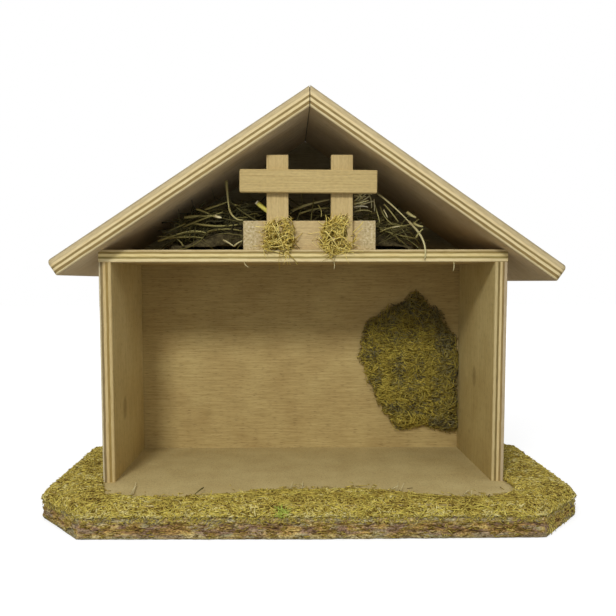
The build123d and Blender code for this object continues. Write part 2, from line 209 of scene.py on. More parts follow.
def unit(rows: np.ndarray) -> np.ndarray:
    """Scales each row of vectors to length 1."""
    return rows / np.maximum(np.linalg.norm(rows, axis=-1, keepdims=True), 1e-9)


def cloudiness(places: np.ndarray, size: float, shift: float = 0.0) -> np.ndarray:
    """Reads a smooth field of patches at each place.

    Args:
        places: Rows of x, y, z.
        size: About how wide a patch is.
        shift: Moves the field, so that two uses differ.

    Returns:
        A value from 0 to 1 for each place.
    """
    offset = Vector((shift, shift * 0.7, -shift))
    read = [noise.noise(Vector(row) / size + offset) for row in places]
    return np.clip(np.array(read) * 0.9 + 0.5, 0.0, 1.0)


def dress_node(node: str, material: bpy.types.Material) -> None:
    """Gives a CAD node its finish.

    Args:
        node: The CAD node's name.
        material: Its finish.
    """
    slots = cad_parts[node].data.materials
    slots.clear()
    slots.append(material)
    log.info("%s dressed in %s", node, material.name)


def settle(piece: bpy.types.Object, material: bpy.types.Material, slot: str, *nodes: str) -> None:
    """Finishes a new piece: its material, the body it rides on and the nodes it stands for.

    Args:
        piece: The finished piece.
        material: Its finish.
        slot: Not used.
        nodes: The CAD nodes that it stands for.
    """
    piece.data.materials.clear()
    piece.data.materials.append(material)
    make_active(piece)
    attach(piece, "root")
    if nodes:
        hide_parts(*nodes)
    log.info("%s made, %d faces, in %s", piece.name, len(piece.data.polygons), material.name)


@dataclass(frozen=True)
class Board:
    """A board's own axes: where its first face lies, and which ways its plies and its grain run."""

    origin: Vector
    across: Vector
    along: Vector

    def turn(self) -> Matrix:
        """Turns a direction of the stable into the board's own: along, aside, across."""
        along, across = self.along.normalized(), self.across.normalized()
        return Matrix((along, across.cross(along), across))

    def local(self, tree: bpy.types.NodeTree) -> bpy.types.NodeSocket:
        """Adds the nodes that give a place in the board's own axes.

        Args:
            tree: The material's node tree.

        Returns:
            The place: along the grain, aside, and through the plies.
        """
        turn = self.turn()
        coords = add_node(tree, "TexCoord")
        return add_node(tree, "Mapping", {
            "Vector": coords["Object"], "Location": -(turn @ self.origin), "Rotation": turn.to_euler(),
        })[0]


@dataclass(frozen=True)
class Finish:
    """What every finish shares: its name, how rough it is and how deep its relief goes."""

    name: str
    roughness: float
    relief: float

    def start(self) -> tuple[bpy.types.Material, bpy.types.NodeTree]:
        """Makes the empty material.

        Returns:
            The material and its node tree.
        """
        material = bpy.data.materials.new(self.name)
        material.use_nodes = True
        material.node_tree.nodes.clear()
        return material, material.node_tree

    def close(
        self,
        tree: bpy.types.NodeTree,
        colour: bpy.types.NodeSocket,
        height: bpy.types.NodeSocket | None = None,
        metal: float = 0.0,
        gloss: float = 0.3,
    ) -> None:
        """Joins the colour and the relief to the shader and the output.

        Args:
            tree: The material's node tree.
            colour: The surface colour.
            height: The relief, from 0 to 1, or None where the mesh has it all.
            metal: 1 for a metal.
            gloss: The specular level.
        """
        links = {
            "Base Color": colour, "Roughness": self.roughness, "Metallic": metal, "Specular IOR Level": gloss,
        }
        if height is not None:
            rough = add_node(tree, "MapRange", {
                "Value": height, "To Min": min(1.0, self.roughness + 0.1), "To Max": self.roughness - 0.08,
            })
            links["Roughness"] = rough[0]
            links["Normal"] = add_node(tree, "Bump", {
                "Height": height, "Strength": 0.7, "Distance": self.relief,
            })[0]
        shader = add_node(tree, "BsdfPrincipled", links)
        add_node(tree, "OutputMaterial", {"Surface": shader[0]})


@dataclass(frozen=True)
class Plywood(Finish):
    """Peeled veneers glued crosswise, sawn with a circular saw and left bare.

    A cut edge shows pale plies with the grain along it and brown plies with the grain end on; a face shows
    fine straight grain with short dark pores. A wall is painted darker and browner towards its foot, as painted
    shade near the floor, and a face high up in the loft is painted darker and bluer, as painted shade under the
    roof.
    """

    plies: tuple[tuple[float, str], ...] = ()
    face: str = "#B39A68"
    face_dark: str = "#937A4A"
    thick: float = 9 * MM
    grain_length: float = 42 * MM
    grain_width: float = 1.3 * MM
    pore_length: float = 6 * MM
    pore_width: float = 0.45 * MM
    saw_mark: float = 0.5 * MM
    blotch: float = 38 * MM
    glue_line: float = 0.012
    waver: float = 9 * MM
    waver_depth: float = 0.45 * MM
    waver_middle: float = 0.22 * MM
    saw_reach: float = 7 * MM
    # Faces looking into the loft above the set height are multiplied by this pale blue-grey: painted shade
    # under the roof.
    dust: str = "#BEC8E0"
    painted_shade_fade: float = 12 * MM
    painted_shade_above: float | None = None
    # Multiplied in towards a wall's foot: painted shade near the floor, a little browner too.
    foot_tone: str | None = None
    foot_reach: float = 150 * MM
    knots: tuple[tuple[float, float, float, float], ...] = ()

    def ply_stops(self) -> tuple[tuple[float, str], ...]:
        """Gives the ramp's stops, each ply flat in colour with a narrow change at its glue line.

        Returns:
            Each stop's place and sRGB colour.
        """
        stops, start = [], 0.0
        for end, colour in self.plies:
            stops += [(start + self.glue_line, colour), (end - self.glue_line, colour)]
            start = end
        return tuple(stops)

    def material(self, board: Board) -> bpy.types.Material:
        """Makes the plywood for one board.

        Args:
            board: The board's own axes.

        Returns:
            The finished material.
        """
        material, tree = self.start()
        local = board.local(tree)
        depth = add_node(tree, "SeparateXYZ", {0: local})["Z"]
        waver = add_node(tree, "TexNoise", {"Vector": local, "Scale": 1 / self.waver, "Detail": 3.0})[0]
        wavy = add_node(tree, "Math", {0: waver, 1: self.waver_depth, 2: depth}, operation="MULTIPLY_ADD")[0]
        share = add_node(tree, "MapRange", {
            "Value": wavy, "From Min": self.waver_middle, "From Max": self.thick + self.waver_middle,
        })[0]
        plies = add_node(tree, "ValToRGB", {"Fac": share}, self.ply_stops())[0]
        stretch = add_node(tree, "VectorMath", {
            0: local, 1: (1 / self.saw_reach, 1 / self.saw_reach, 1 / self.saw_mark),
        }, operation="MULTIPLY")[0]
        streak = add_node(tree, "TexNoise", {
            "Vector": stretch, "Scale": 1.0, "Detail": 4.0, "Roughness": 0.65,
        })[0]
        streak_tone = add_node(tree, "ValToRGB", {"Fac": streak}, (
            (0.3, "#5E5A52"), (0.5, "#BCBAB6"), (0.72, "#E2E0DA"),
        ))[0]
        edge = add_node(tree, "Mix", {0: 0.55, 6: plies, 7: streak_tone}, **SOFTENED)[2]

        lengthways = add_node(tree, "VectorMath", {
            0: local, 1: (1 / self.grain_length, 1 / self.grain_width, 1 / self.grain_width),
        }, operation="MULTIPLY")[0]
        grain = add_node(tree, "TexNoise", {
            "Vector": lengthways, "Scale": 1.0, "Detail": 5.0, "Roughness": 0.6,
        })[0]
        wood = add_node(tree, "ValToRGB", {"Fac": grain}, ((0.28, self.face_dark), (0.66, self.face)))[0]
        dashes = add_node(tree, "VectorMath", {
            0: local, 1: (1 / self.pore_length, 1 / self.pore_width, 1 / self.pore_width),
        }, operation="MULTIPLY")[0]
        pores = add_node(tree, "TexNoise", {"Vector": dashes, "Scale": 1.0, "Detail": 2.0})[0]
        pore_tone = add_node(tree, "ValToRGB", {"Fac": pores}, ((0.28, "#8A7C68"), (0.42, "#FFFFFF")))[0]
        wood = add_node(tree, "Mix", {0: 0.7, 6: wood, 7: pore_tone}, **MULTIPLIED)[2]
        cloud = add_node(tree, "TexNoise", {"Vector": local, "Scale": 1 / self.blotch, "Detail": 3.0})[0]
        cloud_tone = add_node(tree, "ValToRGB", {"Fac": cloud}, ((0.25, "#8C8078"), (0.7, "#CFCAC0")))[0]
        wood = add_node(tree, "Mix", {0: 0.6, 6: wood, 7: cloud_tone}, **SOFTENED)[2]
        for knot_along, knot_aside, knot_depth, knot_wide in self.knots:
            flat = add_node(tree, "VectorMath", {0: local, 1: (0.6, 1.0, 1.0)}, operation="MULTIPLY")[0]
            away = add_node(tree, "VectorMath", {
                0: flat, 1: (0.6 * knot_along, knot_aside, knot_depth),
            }, operation="DISTANCE")[1]
            ring = add_node(tree, "MapRange", {"Value": away, "From Max": knot_wide})[0]
            knot = add_node(tree, "ValToRGB", {"Fac": ring}, (
                (0.0, "#5A4630"), (0.3, "#86704E"), (0.45, "#B8A98C"), (0.6, "#8E7C60"), (1.0, "#FFFFFF"),
            ))[0]
            wood = add_node(tree, "Mix", {0: 0.42, 6: wood, 7: knot}, **MULTIPLIED)[2]

        # Painted shade: the face is multiplied darker and browner towards the wall's foot, near the floor.
        if self.foot_tone is not None:
            along = add_node(tree, "SeparateXYZ", {0: local})["X"]
            from_foot = add_node(tree, "MapRange", {"Value": along, "From Max": self.foot_reach})[0]
            painted_foot_shade = add_node(tree, "ValToRGB", {"Fac": from_foot}, ((0.0, self.foot_tone), (1.0, "#FFFFFF")))[0]
            wood = add_node(tree, "Mix", {0: 1.0, 6: wood, 7: painted_foot_shade}, **MULTIPLIED)[2]
        facing = add_node(tree, "VectorMath", {
            0: add_node(tree, "TexCoord")["Normal"], 1: board.across.normalized(),
        }, operation="DOT_PRODUCT")[1]
        # Painted shade: faces looking into the loft above the set height are multiplied by a pale blue-grey,
        # standing in for the shade under the roof.
        if self.painted_shade_above is not None:
            height = add_node(tree, "SeparateXYZ", {0: add_node(tree, "TexCoord")["Object"]})["Z"]
            high_up = add_node(tree, "MapRange", {
                "Value": height, "From Min": self.painted_shade_above, "From Max": self.painted_shade_above + self.painted_shade_fade,
            })[0]
            inside = add_node(tree, "MapRange", {"Value": facing, "From Min": -0.5, "From Max": -0.9})[0]
            dust = add_node(tree, "Math", {0: high_up, 1: inside}, operation="MULTIPLY")[0]
            wood = add_node(tree, "Mix", {0: dust, 6: wood, 7: hex_colour(self.dust)}, **MULTIPLIED)[2]
        squarely = add_node(tree, "Math", {0: facing}, operation="ABSOLUTE")[0]
        on_face = add_node(tree, "MapRange", {"Value": squarely, "From Min": 0.7, "From Max": 0.9})[0]
        colour = add_node(tree, "Mix", {0: on_face, 6: edge, 7: wood}, **MIXED)[2]
        height = add_node(tree, "Mix", {0: on_face, 2: streak, 3: grain})[0]
        self.close(tree, colour, height)
        return material


@dataclass(frozen=True)
class Fibreboard(Finish):
    """Hot-pressed wood fibre, sanded: even brown, with fine pale and dark fibres and soft blotches."""

    pale: str = "#C8B886"
    middle: str = "#B9A876"
    dark: str = "#96855A"
    fibre: float = 0.9 * MM
    blotch: float = 22 * MM

    def material(self) -> bpy.types.Material:
        """Makes the fibreboard.

        Returns:
            The finished material.
        """
        material, tree = self.start()
        place = add_node(tree, "TexCoord")["Object"]
        fibre = add_node(tree, "TexNoise", {
            "Vector": place, "Scale": 1 / self.fibre, "Detail": 4.0, "Roughness": 0.7,
        })[0]
        colour = add_node(tree, "ValToRGB", {"Fac": fibre}, (
            (0.3, self.dark), (0.48, self.middle), (0.56, self.middle), (0.72, self.pale),
        ))[0]
        cloud = add_node(tree, "TexNoise", {"Vector": place, "Scale": 1 / self.blotch, "Detail": 3.0})[0]
        cloud_tone = add_node(tree, "ValToRGB", {"Fac": cloud}, ((0.3, "#8E857A"), (0.7, "#C4C0B8")))[0]
        colour = add_node(tree, "Mix", {0: 0.5, 6: colour, 7: cloud_tone}, **SOFTENED)[2]
        self.close(tree, colour, fibre)
        return material


@dataclass(frozen=True)
class SawnSlat(Finish):
    """Thin sawn softwood: pale, with fine growth lines along it, saw fuzz and darker end grain."""

    pale: str = "#C9B27C"
    dark: str = "#B49C66"
    line_length: float = 55 * MM
    line_width: float = 1.0 * MM
    speck: float = 1.3 * MM
    speck_share: float = 0.18
    length: float = 0.0
    worn_end: float = 0.0

    def material(self, board: Board) -> bpy.types.Material:
        """Makes the slat wood for one slat.

        Args:
            board: The slat's own axes.

        Returns:
            The finished material.
        """
        material, tree = self.start()
        local = board.local(tree)
        lengthways = add_node(tree, "VectorMath", {
            0: local, 1: (1 / self.line_length, 1 / self.line_width, 1 / self.line_width),
        }, operation="MULTIPLY")[0]
        lines = add_node(tree, "TexNoise", {
            "Vector": lengthways, "Scale": 1.0, "Detail": 5.0, "Roughness": 0.65,
        })[0]
        colour = add_node(tree, "ValToRGB", {"Fac": lines}, ((0.3, self.dark), (0.62, self.pale)))[0]
        fuzz = add_node(tree, "VectorMath", {
            0: local, 1: (0.4 / self.speck, 1 / self.speck, 1 / self.speck),
        }, operation="MULTIPLY")[0]
        specks = add_node(tree, "TexNoise", {
            "Vector": fuzz, "Scale": 1.0, "Detail": 3.0, "Roughness": 0.6,
        })[0]
        speck_tone = add_node(tree, "ValToRGB", {"Fac": specks}, (
            (0.32, "#7A7068"), (0.5, "#B8B4AE"), (0.7, "#E0DCD4"),
        ))[0]
        colour = add_node(tree, "Mix", {0: self.speck_share, 6: colour, 7: speck_tone}, **OVERLAID)[2]
        if self.worn_end:
            along = add_node(tree, "SeparateXYZ", {0: local})["X"]
            off = add_node(tree, "Math", {0: along, 1: -self.length / 2}, operation="ADD")[0]
            off = add_node(tree, "Math", {0: off}, operation="ABSOLUTE")[0]
            ragged = add_node(tree, "Math", {0: specks, 1: self.worn_end, 2: off}, operation="MULTIPLY_ADD")[0]
            worn = add_node(tree, "MapRange", {
                "Value": ragged, "From Min": self.length / 2 - 0.4 * self.worn_end, "From Max": self.length / 2,
                "To Max": 0.7,
            })[0]
            torn = add_node(tree, "TexNoise", {"Vector": local, "Scale": 0.8 / self.speck, "Detail": 2.0})[0]
            torn_tone = add_node(tree, "ValToRGB", {"Fac": torn}, (
                (0.32, "#85764E"), (0.44, "#B9A87C"), (0.58, "#C4B58C"), (0.7, "#DCD2B4"),
            ))[0]
            colour = add_node(tree, "Mix", {0: worn, 6: colour, 7: torn_tone}, **MIXED)[2]
        self.close(tree, colour, lines)
        return material


@dataclass(frozen=True)
class BradSteel(Finish):
    """Drawn steel wire, flattened and cropped: a dull grey metal with fine lines and tarnish."""

    bright: str = "#9A9894"
    dull: str = "#6E6A64"
    line: float = 0.4 * MM

    def material(self) -> bpy.types.Material:
        """Makes the steel.

        Returns:
            The finished material.
        """
        material, tree = self.start()
        place = add_node(tree, "TexCoord")["Object"]
        lines = add_node(tree, "TexNoise", {"Vector": place, "Scale": 1 / self.line, "Detail": 3.0})[0]
        colour = add_node(tree, "ValToRGB", {"Fac": lines}, ((0.35, self.dull), (0.65, self.bright)))[0]
        self.close(tree, colour, lines, metal=1.0, gloss=0.5)
        return material


@dataclass(frozen=True)
class StrandFinish(Finish):
    """Dried plant stems: matt, each of one tone, darker at the root than at the tip.

    A strand's tone is read across its own map and its length up it.
    """

    tones: tuple[str, ...] = ()
    root: str = "#C4BCAC"

    def material(self) -> bpy.types.Material:
        """Makes the strands' material.

        Returns:
            The finished material.
        """
        material, tree = self.start()
        place = add_node(tree, "SeparateXYZ", {0: add_node(tree, "UVMap", uv_map=STRAND_MAP)[0]})
        last = len(self.tones) - 1
        stops = tuple((index / last, tone) for index, tone in enumerate(self.tones))
        colour = add_node(tree, "ValToRGB", {"Fac": place["X"]}, stops)[0]
        shade = add_node(tree, "ValToRGB", {"Fac": place["Y"]}, ((0.0, self.root), (0.55, "#FFFFFF")))[0]
        colour = add_node(tree, "Mix", {0: 1.0, 6: colour, 7: shade}, **MULTIPLIED)[2]
        self.close(tree, colour, gloss=0.2)
        return material


@dataclass(frozen=True)
class PressedMoss(Finish):
    """The dense felt under the loose moss: dark olive and brown crumbs that show only in the gaps."""

    dark: str = "#46360F"
    middle: str = "#6A5824"
    pale: str = "#908038"
    crumb: float = 1.8 * MM

    def material(self) -> bpy.types.Material:
        """Makes the felt.

        Returns:
            The finished material.
        """
        material, tree = self.start()
        place = add_node(tree, "TexCoord")["Object"]
        crumbs = add_node(tree, "TexNoise", {
            "Vector": place, "Scale": 1 / self.crumb, "Detail": 5.0, "Roughness": 0.7,
        })[0]
        colour = add_node(tree, "ValToRGB", {"Fac": crumbs}, (
            (0.32, self.dark), (0.5, self.middle), (0.7, self.pale),
        ))[0]
        self.close(tree, colour, crumbs, gloss=0.1)
        return material


@dataclass(frozen=True)
class PeeledBark(Finish):
    """Bark peeled in strips: short streaks of tan and dark brown, in patches that turn brown or grey."""

    streak_length: float = 3.5 * MM
    streak_width: float = 0.55 * MM
    patch_length: float = 13 * MM
    patch_width: float = 4 * MM
    foot: float = 4.5 * MM
    foot_tone: str = "#8A8460"
    fleck: float = 0.6 * MM

    def material(self) -> bpy.types.Material:
        """Makes the bark, which follows each strip's own place and the tone of its fibres.

        Returns:
            The finished material.
        """
        material, tree = self.start()
        place = add_node(tree, "Attribute", attribute_name=BARK_PLACE)["Vector"]
        tone = add_node(tree, "Attribute", attribute_name=BARK_TONE)["Fac"]
        lengthways = add_node(tree, "VectorMath", {
            0: place, 1: (1 / self.streak_length, 1 / self.streak_width, 1 / self.streak_width),
        }, operation="MULTIPLY")[0]
        streaks = add_node(tree, "TexNoise", {
            "Vector": lengthways, "Scale": 1.0, "Detail": 6.0, "Roughness": 0.65,
        })[0]
        mixed = add_node(tree, "Math", {0: streaks, 1: 0.9, 2: -0.45}, operation="MULTIPLY_ADD")[0]
        share = add_node(tree, "Math", {0: tone, 1: mixed}, operation="ADD")[0]
        brown = add_node(tree, "ValToRGB", {"Fac": share}, (
            (0.04, "#3E2D16"), (0.18, "#7A6036"), (0.34, "#A48450"), (0.48, "#B89A5A"), (0.62, "#BEA864"),
            (0.78, "#CAB67C"), (0.95, "#DCCA9E"),
        ))[0]
        grey = add_node(tree, "ValToRGB", {"Fac": share}, (
            (0.04, "#3A2C20"), (0.2, "#725A46"), (0.4, "#987E66"), (0.56, "#A69276"), (0.72, "#A49C76"),
            (0.9, "#BAB28C"),
        ))[0]
        broad = add_node(tree, "VectorMath", {
            0: place, 1: (1 / self.patch_length, 1 / self.patch_width, 1 / self.patch_width),
        }, operation="MULTIPLY")[0]
        patches = add_node(tree, "TexNoise", {"Vector": broad, "Scale": 1.0, "Detail": 3.0})[0]
        greyness = add_node(tree, "MapRange", {"Value": patches, "From Min": 0.44, "From Max": 0.56})[0]
        colour = add_node(tree, "Mix", {0: greyness, 6: brown, 7: grey}, **MIXED)[2]
        height = add_node(tree, "SeparateXYZ", {0: place})["Y"]
        low_down = add_node(tree, "MapRange", {
            "Value": height, "From Min": self.foot, "From Max": 0.3 * self.foot, "To Max": 0.55,
        })[0]
        colour = add_node(tree, "Mix", {0: low_down, 6: colour, 7: hex_colour(self.foot_tone)}, **MIXED)[2]
        grains = add_node(tree, "VectorMath", {0: place, 1: (0.45, 1.0, 1.0)}, operation="MULTIPLY")[0]
        flecks = add_node(tree, "TexNoise", {"Vector": grains, "Scale": 1 / self.fleck, "Detail": 3.0})[0]
        fleck_tone = add_node(tree, "ValToRGB", {"Fac": flecks}, ((0.34, "#524A40"), (0.64, "#DCD8D0")))[0]
        colour = add_node(tree, "Mix", {0: 0.7, 6: colour, 7: fleck_tone}, **OVERLAID)[2]
        self.close(tree, colour, streaks, gloss=0.15)
        return material


@dataclass(frozen=True)
class StrandShape:
    """One strand, modelled once: a tapered stem or a flat blade, one unit tall, from which beds are grown."""

    sides: int
    cuts: int
    tip: float
    flat: float

    def model(self) -> tuple[np.ndarray, list[tuple[int, ...]]]:
        """Models the strand as by hand and takes its mesh.

        Returns:
            Its vertices as rows of x, y, z, and its faces as vertex numbers.
        """
        clear_selection()
        bpy.ops.mesh.primitive_cone_add(
            vertices=self.sides, radius1=1.0, radius2=self.tip, depth=1.0, location=(0, 0, 0.5),
            end_fill_type="NGON",
        )
        strand = bpy.context.object
        bpy.ops.object.transform_apply(location=True)
        bpy.ops.object.mode_set(mode="EDIT")
        bpy.ops.mesh.select_all(action="SELECT")
        bpy.ops.transform.resize(value=(1.0, self.flat, 1.0))
        for cut in range(1, self.cuts):
            bpy.ops.mesh.select_all(action="SELECT")
            bpy.ops.mesh.bisect(plane_co=(0, 0, cut / self.cuts), plane_no=(0, 0, 1))
        bpy.ops.object.mode_set(mode="OBJECT")
        places = vertex_places(strand)
        faces = [tuple(face.vertices) for face in strand.data.polygons]
        mesh = strand.data
        bpy.data.objects.remove(strand)
        bpy.data.meshes.remove(mesh)
        return places, faces

    def grow(
        self, name: str, lines: np.ndarray, widths: np.ndarray, tones: np.ndarray, sides: np.ndarray,
    ) -> bpy.types.Object:
        """Bends a copy of the strand along each line and joins them as one piece.

        Args:
            name: The piece's name.
            lines: For each strand, the four control points of its curve.
            widths: Each strand's half width at its root.
            tones: Each strand's tone, from 0 to 1.
            sides: For each strand, a direction that its flat side looks in.

        Returns:
            The piece, with its strand map.
        """
        places, faces = self.model()
        along = np.clip(places[:, 2], 0.0, 1.0)[None, :, None]
        back = 1.0 - along
        p0, p1, p2, p3 = (lines[:, None, at, :] for at in range(4))
        spine = back**3 * p0 + 3 * back**2 * along * p1 + 3 * back * along**2 * p2 + along**3 * p3
        run = unit(back**2 * (p1 - p0) + 2 * back * along * (p2 - p1) + along**2 * (p3 - p2))
        wide = unit(np.cross(run, np.broadcast_to(sides[:, None, :], run.shape)))
        thick = np.cross(run, wide)
        half = widths[:, None, None]
        spots = spine + half * (places[None, :, 0, None] * wide + places[None, :, 1, None] * thick)
        count, size = spots.shape[:2]
        corners = np.concatenate([np.array(face) for face in faces])
        starts = np.cumsum([0] + [len(face) for face in faces])[:-1]
        mesh = bpy.data.meshes.new(name)
        mesh.vertices.add(count * size)
        mesh.vertices.foreach_set("co", spots.ravel())
        mesh.loops.add(count * len(corners))
        numbers = corners[None, :] + (np.arange(count) * size)[:, None]
        mesh.loops.foreach_set("vertex_index", numbers.ravel().astype(np.int32))
        mesh.polygons.add(count * len(faces))
        first = starts[None, :] + (np.arange(count) * len(corners))[:, None]
        mesh.polygons.foreach_set("loop_start", first.ravel().astype(np.int32))
        mesh.update(calc_edges=True)
        cells = np.floor(np.clip(tones, 0.0, 0.999) * STRAND_TONES)
        across = (cells[:, None] + 0.5 + 0.3 * places[None, corners, 0]) / STRAND_TONES
        up = 0.05 + 0.88 * places[corners, 2] + 0.03 * places[corners, 1] / self.flat
        flat_map = np.stack([across, np.broadcast_to(up[None, :], across.shape)], axis=-1)
        mesh.uv_layers.new(name=STRAND_MAP).data.foreach_set("uv", flat_map.ravel())
        mesh.validate()
        piece = bpy.data.objects.new(name, mesh)
        bpy.context.scene.collection.objects.link(piece)
        return piece


FLAKE = StrandShape(sides=3, cuts=2, tip=0.6, flat=0.6)


@dataclass(frozen=True)
class BaseEdge:
    """The outline that the bark and the moss follow: a straight front and sides with two cut corners."""

    half_width: float = 190 * MM
    front_y: float = -75.5 * MM
    rear_y: float = 79.5 * MM
    corner: float = 36 * MM
    bark_thick: float = 4 * MM
    bark_top: float = 14 * MM
    moss_top: float = 23.9 * MM
    rim_top: float = 19 * MM
    shoulder: tuple[tuple[float, float], ...] = (
        (0.0, 16.2 * MM), (1.5 * MM, 18.8 * MM), (4.2 * MM, 21.5 * MM), (15 * MM, 23.5 * MM),
    )

    def sides(self) -> tuple[tuple[np.ndarray, np.ndarray], ...]:
        """Gives a point and the outward direction of each side of the board.

        Returns:
            For each side, a point and a direction.
        """
        found = []
        for start, end in self.runs().values():
            run = (end - start).normalized()
            found.append((np.array(start), np.array((run.y, -run.x, 0.0))))
        return tuple(found)

    def round_off(self, points: np.ndarray) -> np.ndarray:
        """Rounds the moss's outer shoulder, squeezing it down towards the bark.

        Args:
            points: Rows of points of a mat.

        Returns:
            The points, lower the nearer they lie to the bark's outer face.
        """
        inset = np.min([
            self.bark_thick - (points - start) @ outward for start, outward in self.sides()
        ], axis=0)
        depths, heights = zip(*self.shoulder)
        share = (np.interp(inset, depths, heights) - self.bark_top) / (self.moss_top - self.bark_top)
        kept = points.copy()
        over = kept[:, 2] - self.bark_top
        kept[:, 2] = np.where(over > 0, self.bark_top + share * over, kept[:, 2])
        return kept

    def runs(self) -> dict[str, tuple[Vector, Vector]]:
        """Gives each bark strip's run along the edge of the base, from its start to its end.

        Returns:
            For each strip's node, the start and the end of its run.
        """
        corners = [
            Vector((-self.half_width, self.rear_y, 0)),
            Vector((-self.half_width, self.front_y + self.corner, 0)),
            Vector((-self.half_width + self.corner, self.front_y, 0)),
            Vector((self.half_width - self.corner, self.front_y, 0)),
            Vector((self.half_width, self.front_y + self.corner, 0)),
            Vector((self.half_width, self.rear_y, 0)),
        ]
        names = ("bark_left", "bark_corner_left", "bark_front", "bark_corner_right", "bark_right")
        return {name: (a, b) for name, a, b in zip(names, corners, corners[1:])}

    def hold(self, points: np.ndarray, proud: float) -> np.ndarray:
        """Holds points inside the bark's outline.

        Args:
            points: Rows of points.
            proud: How far past the bark they may stand.

        Returns:
            The points, moved where they stood outside.
        """
        kept = points.copy()
        for start, outward in self.sides():
            over = (kept - start) @ outward - self.bark_thick - proud
            kept = kept - np.maximum(over, 0.0)[..., None] * outward
        kept[..., 1] = np.minimum(kept[..., 1], self.rear_y)
        return kept


@dataclass
class Bed:
    """A bed of short moss strands grown over one CAD mat."""

    node: str
    count: int
    seed: int
    lay: Lay = Lay.MATTED
    voxel: float = 1.4 * MM
    lump: float = 7 * MM
    lump_height: float = 1.2 * MM
    shortest: float = 1.6 * MM
    longest: float = 6.5 * MM
    half_width: float = 0.46 * MM
    lift: float = 0.06
    curl: float = 0.12
    loose: float = 0.7 * MM
    gaps: float = 0.0
    fringe: float = 0.0
    shrink: tuple[float, float, float] = (1.0, 1.0, 1.0)
    grey_from: float | None = None
    green: tuple[float, float, float] | None = None
    crumbs: int = 0
    straws: int = 0
    clumps: float = 0.36
    dim: float = 0.14
    draw_in: float = 0.0
    # How much paler strands low on the outer rim are made: painted light where the moss's overhang shades them.
    painted_rim_light: float = 0.3
    edge: BaseEdge | None = None
    board_top: float = 21.4 * MM
    shape: StrandShape = FLAKE
    wall_fade: float = 12 * MM
    inner_from: float = 8 * MM
    inner_fade: float = 22 * MM
    gap_size: float = 5 * MM
    drift_size: float = 14 * MM
    patch_size: float = 13 * MM
    painted_rim_fade: float = 4 * MM
    sunk: float = 0.3 * MM
    crumb_step: float = 3 * MM
    crumb_reach: float = 3.5 * MM
    crumb_back: float = 2.0 * MM
    proud: float = 0.4 * MM
    lowest: float = 13 * MM
    off_panel: float = 0.2 * MM
    off_wall: float = 0.4 * MM
    palest: float = 0.83
    straw_tones: tuple[float, float] = (0.38, 0.68)
    green_tone: float = 0.985

    def mat(self, felt: bpy.types.Material) -> bpy.types.Object:
        """Makes the lumpy felt under the strands from a copy of the CAD mat.

        Args:
            felt: The felt's finish.

        Returns:
            The mat, which stands for its CAD node.
        """
        piece = copy_of_node(self.node, self.node + "_felt")
        low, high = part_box(self.node)
        bpy.ops.object.mode_set(mode="EDIT")
        bpy.ops.mesh.select_all(action="SELECT")
        bpy.ops.transform.resize(
            value=self.shrink, center_override=((low.x + high.x) / 2, high.y, (low.z + high.z) / 2),
        )
        bpy.ops.object.mode_set(mode="OBJECT")
        apply_modifier(piece, "REMESH", mode="VOXEL", voxel_size=self.voxel)
        texture = bpy.data.textures.new(self.node + "_lumps", "CLOUDS")
        texture.noise_scale = self.lump
        apply_modifier(
            piece, "DISPLACE", texture=texture, texture_coords="LOCAL", strength=self.lump_height,
            mid_level=0.6,
        )
        places = self.keep_clear(vertex_places(piece))
        if self.edge is not None:
            places = self.edge.round_off(self.drawn_in(places))
        place_vertices(piece, places)
        settle(piece, felt, "moss", self.node)
        return piece

    def drawn_in(self, places: np.ndarray) -> np.ndarray:
        """Draws the mat's inner edge off the room's floor, between the walls.

        Args:
            places: Rows of the mat's vertices.

        Returns:
            The vertices, moved forward where they lay on the room's floor.
        """
        left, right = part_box("left_wall")[0].x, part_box("right_wall")[1].x
        between = np.clip((places[:, 0] - left) / self.wall_fade, 0, 1)
        between = between * np.clip((right - places[:, 0]) / self.wall_fade, 0, 1)
        inner = np.clip((places[:, 1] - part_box(self.node)[0].y - self.inner_from) / self.inner_fade, 0, 1)
        drawn = places.copy()
        drawn[:, 1] -= self.draw_in * between * inner
        return drawn

    def scatter(self, piece: bpy.types.Object, rng: np.random.Generator) -> tuple[np.ndarray, np.ndarray]:
        """Picks places all over the mat's open faces.

        Args:
            piece: The mat.
            rng: The bed's own random numbers.

        Returns:
            The places and the outward direction at each.
        """
        piece.data.calc_loop_triangles()
        triangles = np.array([tuple(t.vertices) for t in piece.data.loop_triangles])
        corners = vertex_places(piece)[triangles]
        normals = np.cross(corners[:, 1] - corners[:, 0], corners[:, 2] - corners[:, 0])
        areas = np.linalg.norm(normals, axis=1)
        normals = unit(normals)
        weight = areas * self.open_to_view(corners.mean(axis=1), normals)
        pick = rng.choice(len(weight), self.count, p=weight / weight.sum())
        a, b = rng.random(self.count), rng.random(self.count)
        fold = a + b > 1
        a, b = np.where(fold, 1 - a, a)[:, None], np.where(fold, 1 - b, b)[:, None]
        chosen = corners[pick]
        spots = chosen[:, 0] + a * (chosen[:, 1] - chosen[:, 0]) + b * (chosen[:, 2] - chosen[:, 0])
        return spots, normals[pick]

    def open_to_view(self, places: np.ndarray, normals: np.ndarray) -> np.ndarray:
        """Says which faces may carry strands: not those pressed on a board.

        Args:
            places: The faces' middles.
            normals: The outward direction of each.

        Returns:
            For each face, a share from 0 to 1.
        """
        opened = np.ones(len(places))
        if self.gaps:
            opened = np.clip(5 * (cloudiness(places, self.gap_size, 5.0) - self.gaps), 0, 1)
        if self.edge is None:
            opened[normals[:, 1] > 0.2] = 0.0
        else:
            opened[normals[:, 2] < -0.4] = 0.0
            inwards = np.einsum("ij,ij->i", normals[:, :2], places[:, :2]) < 0
            opened[inwards & (places[:, 2] < self.board_top)] = 0.0
        return opened

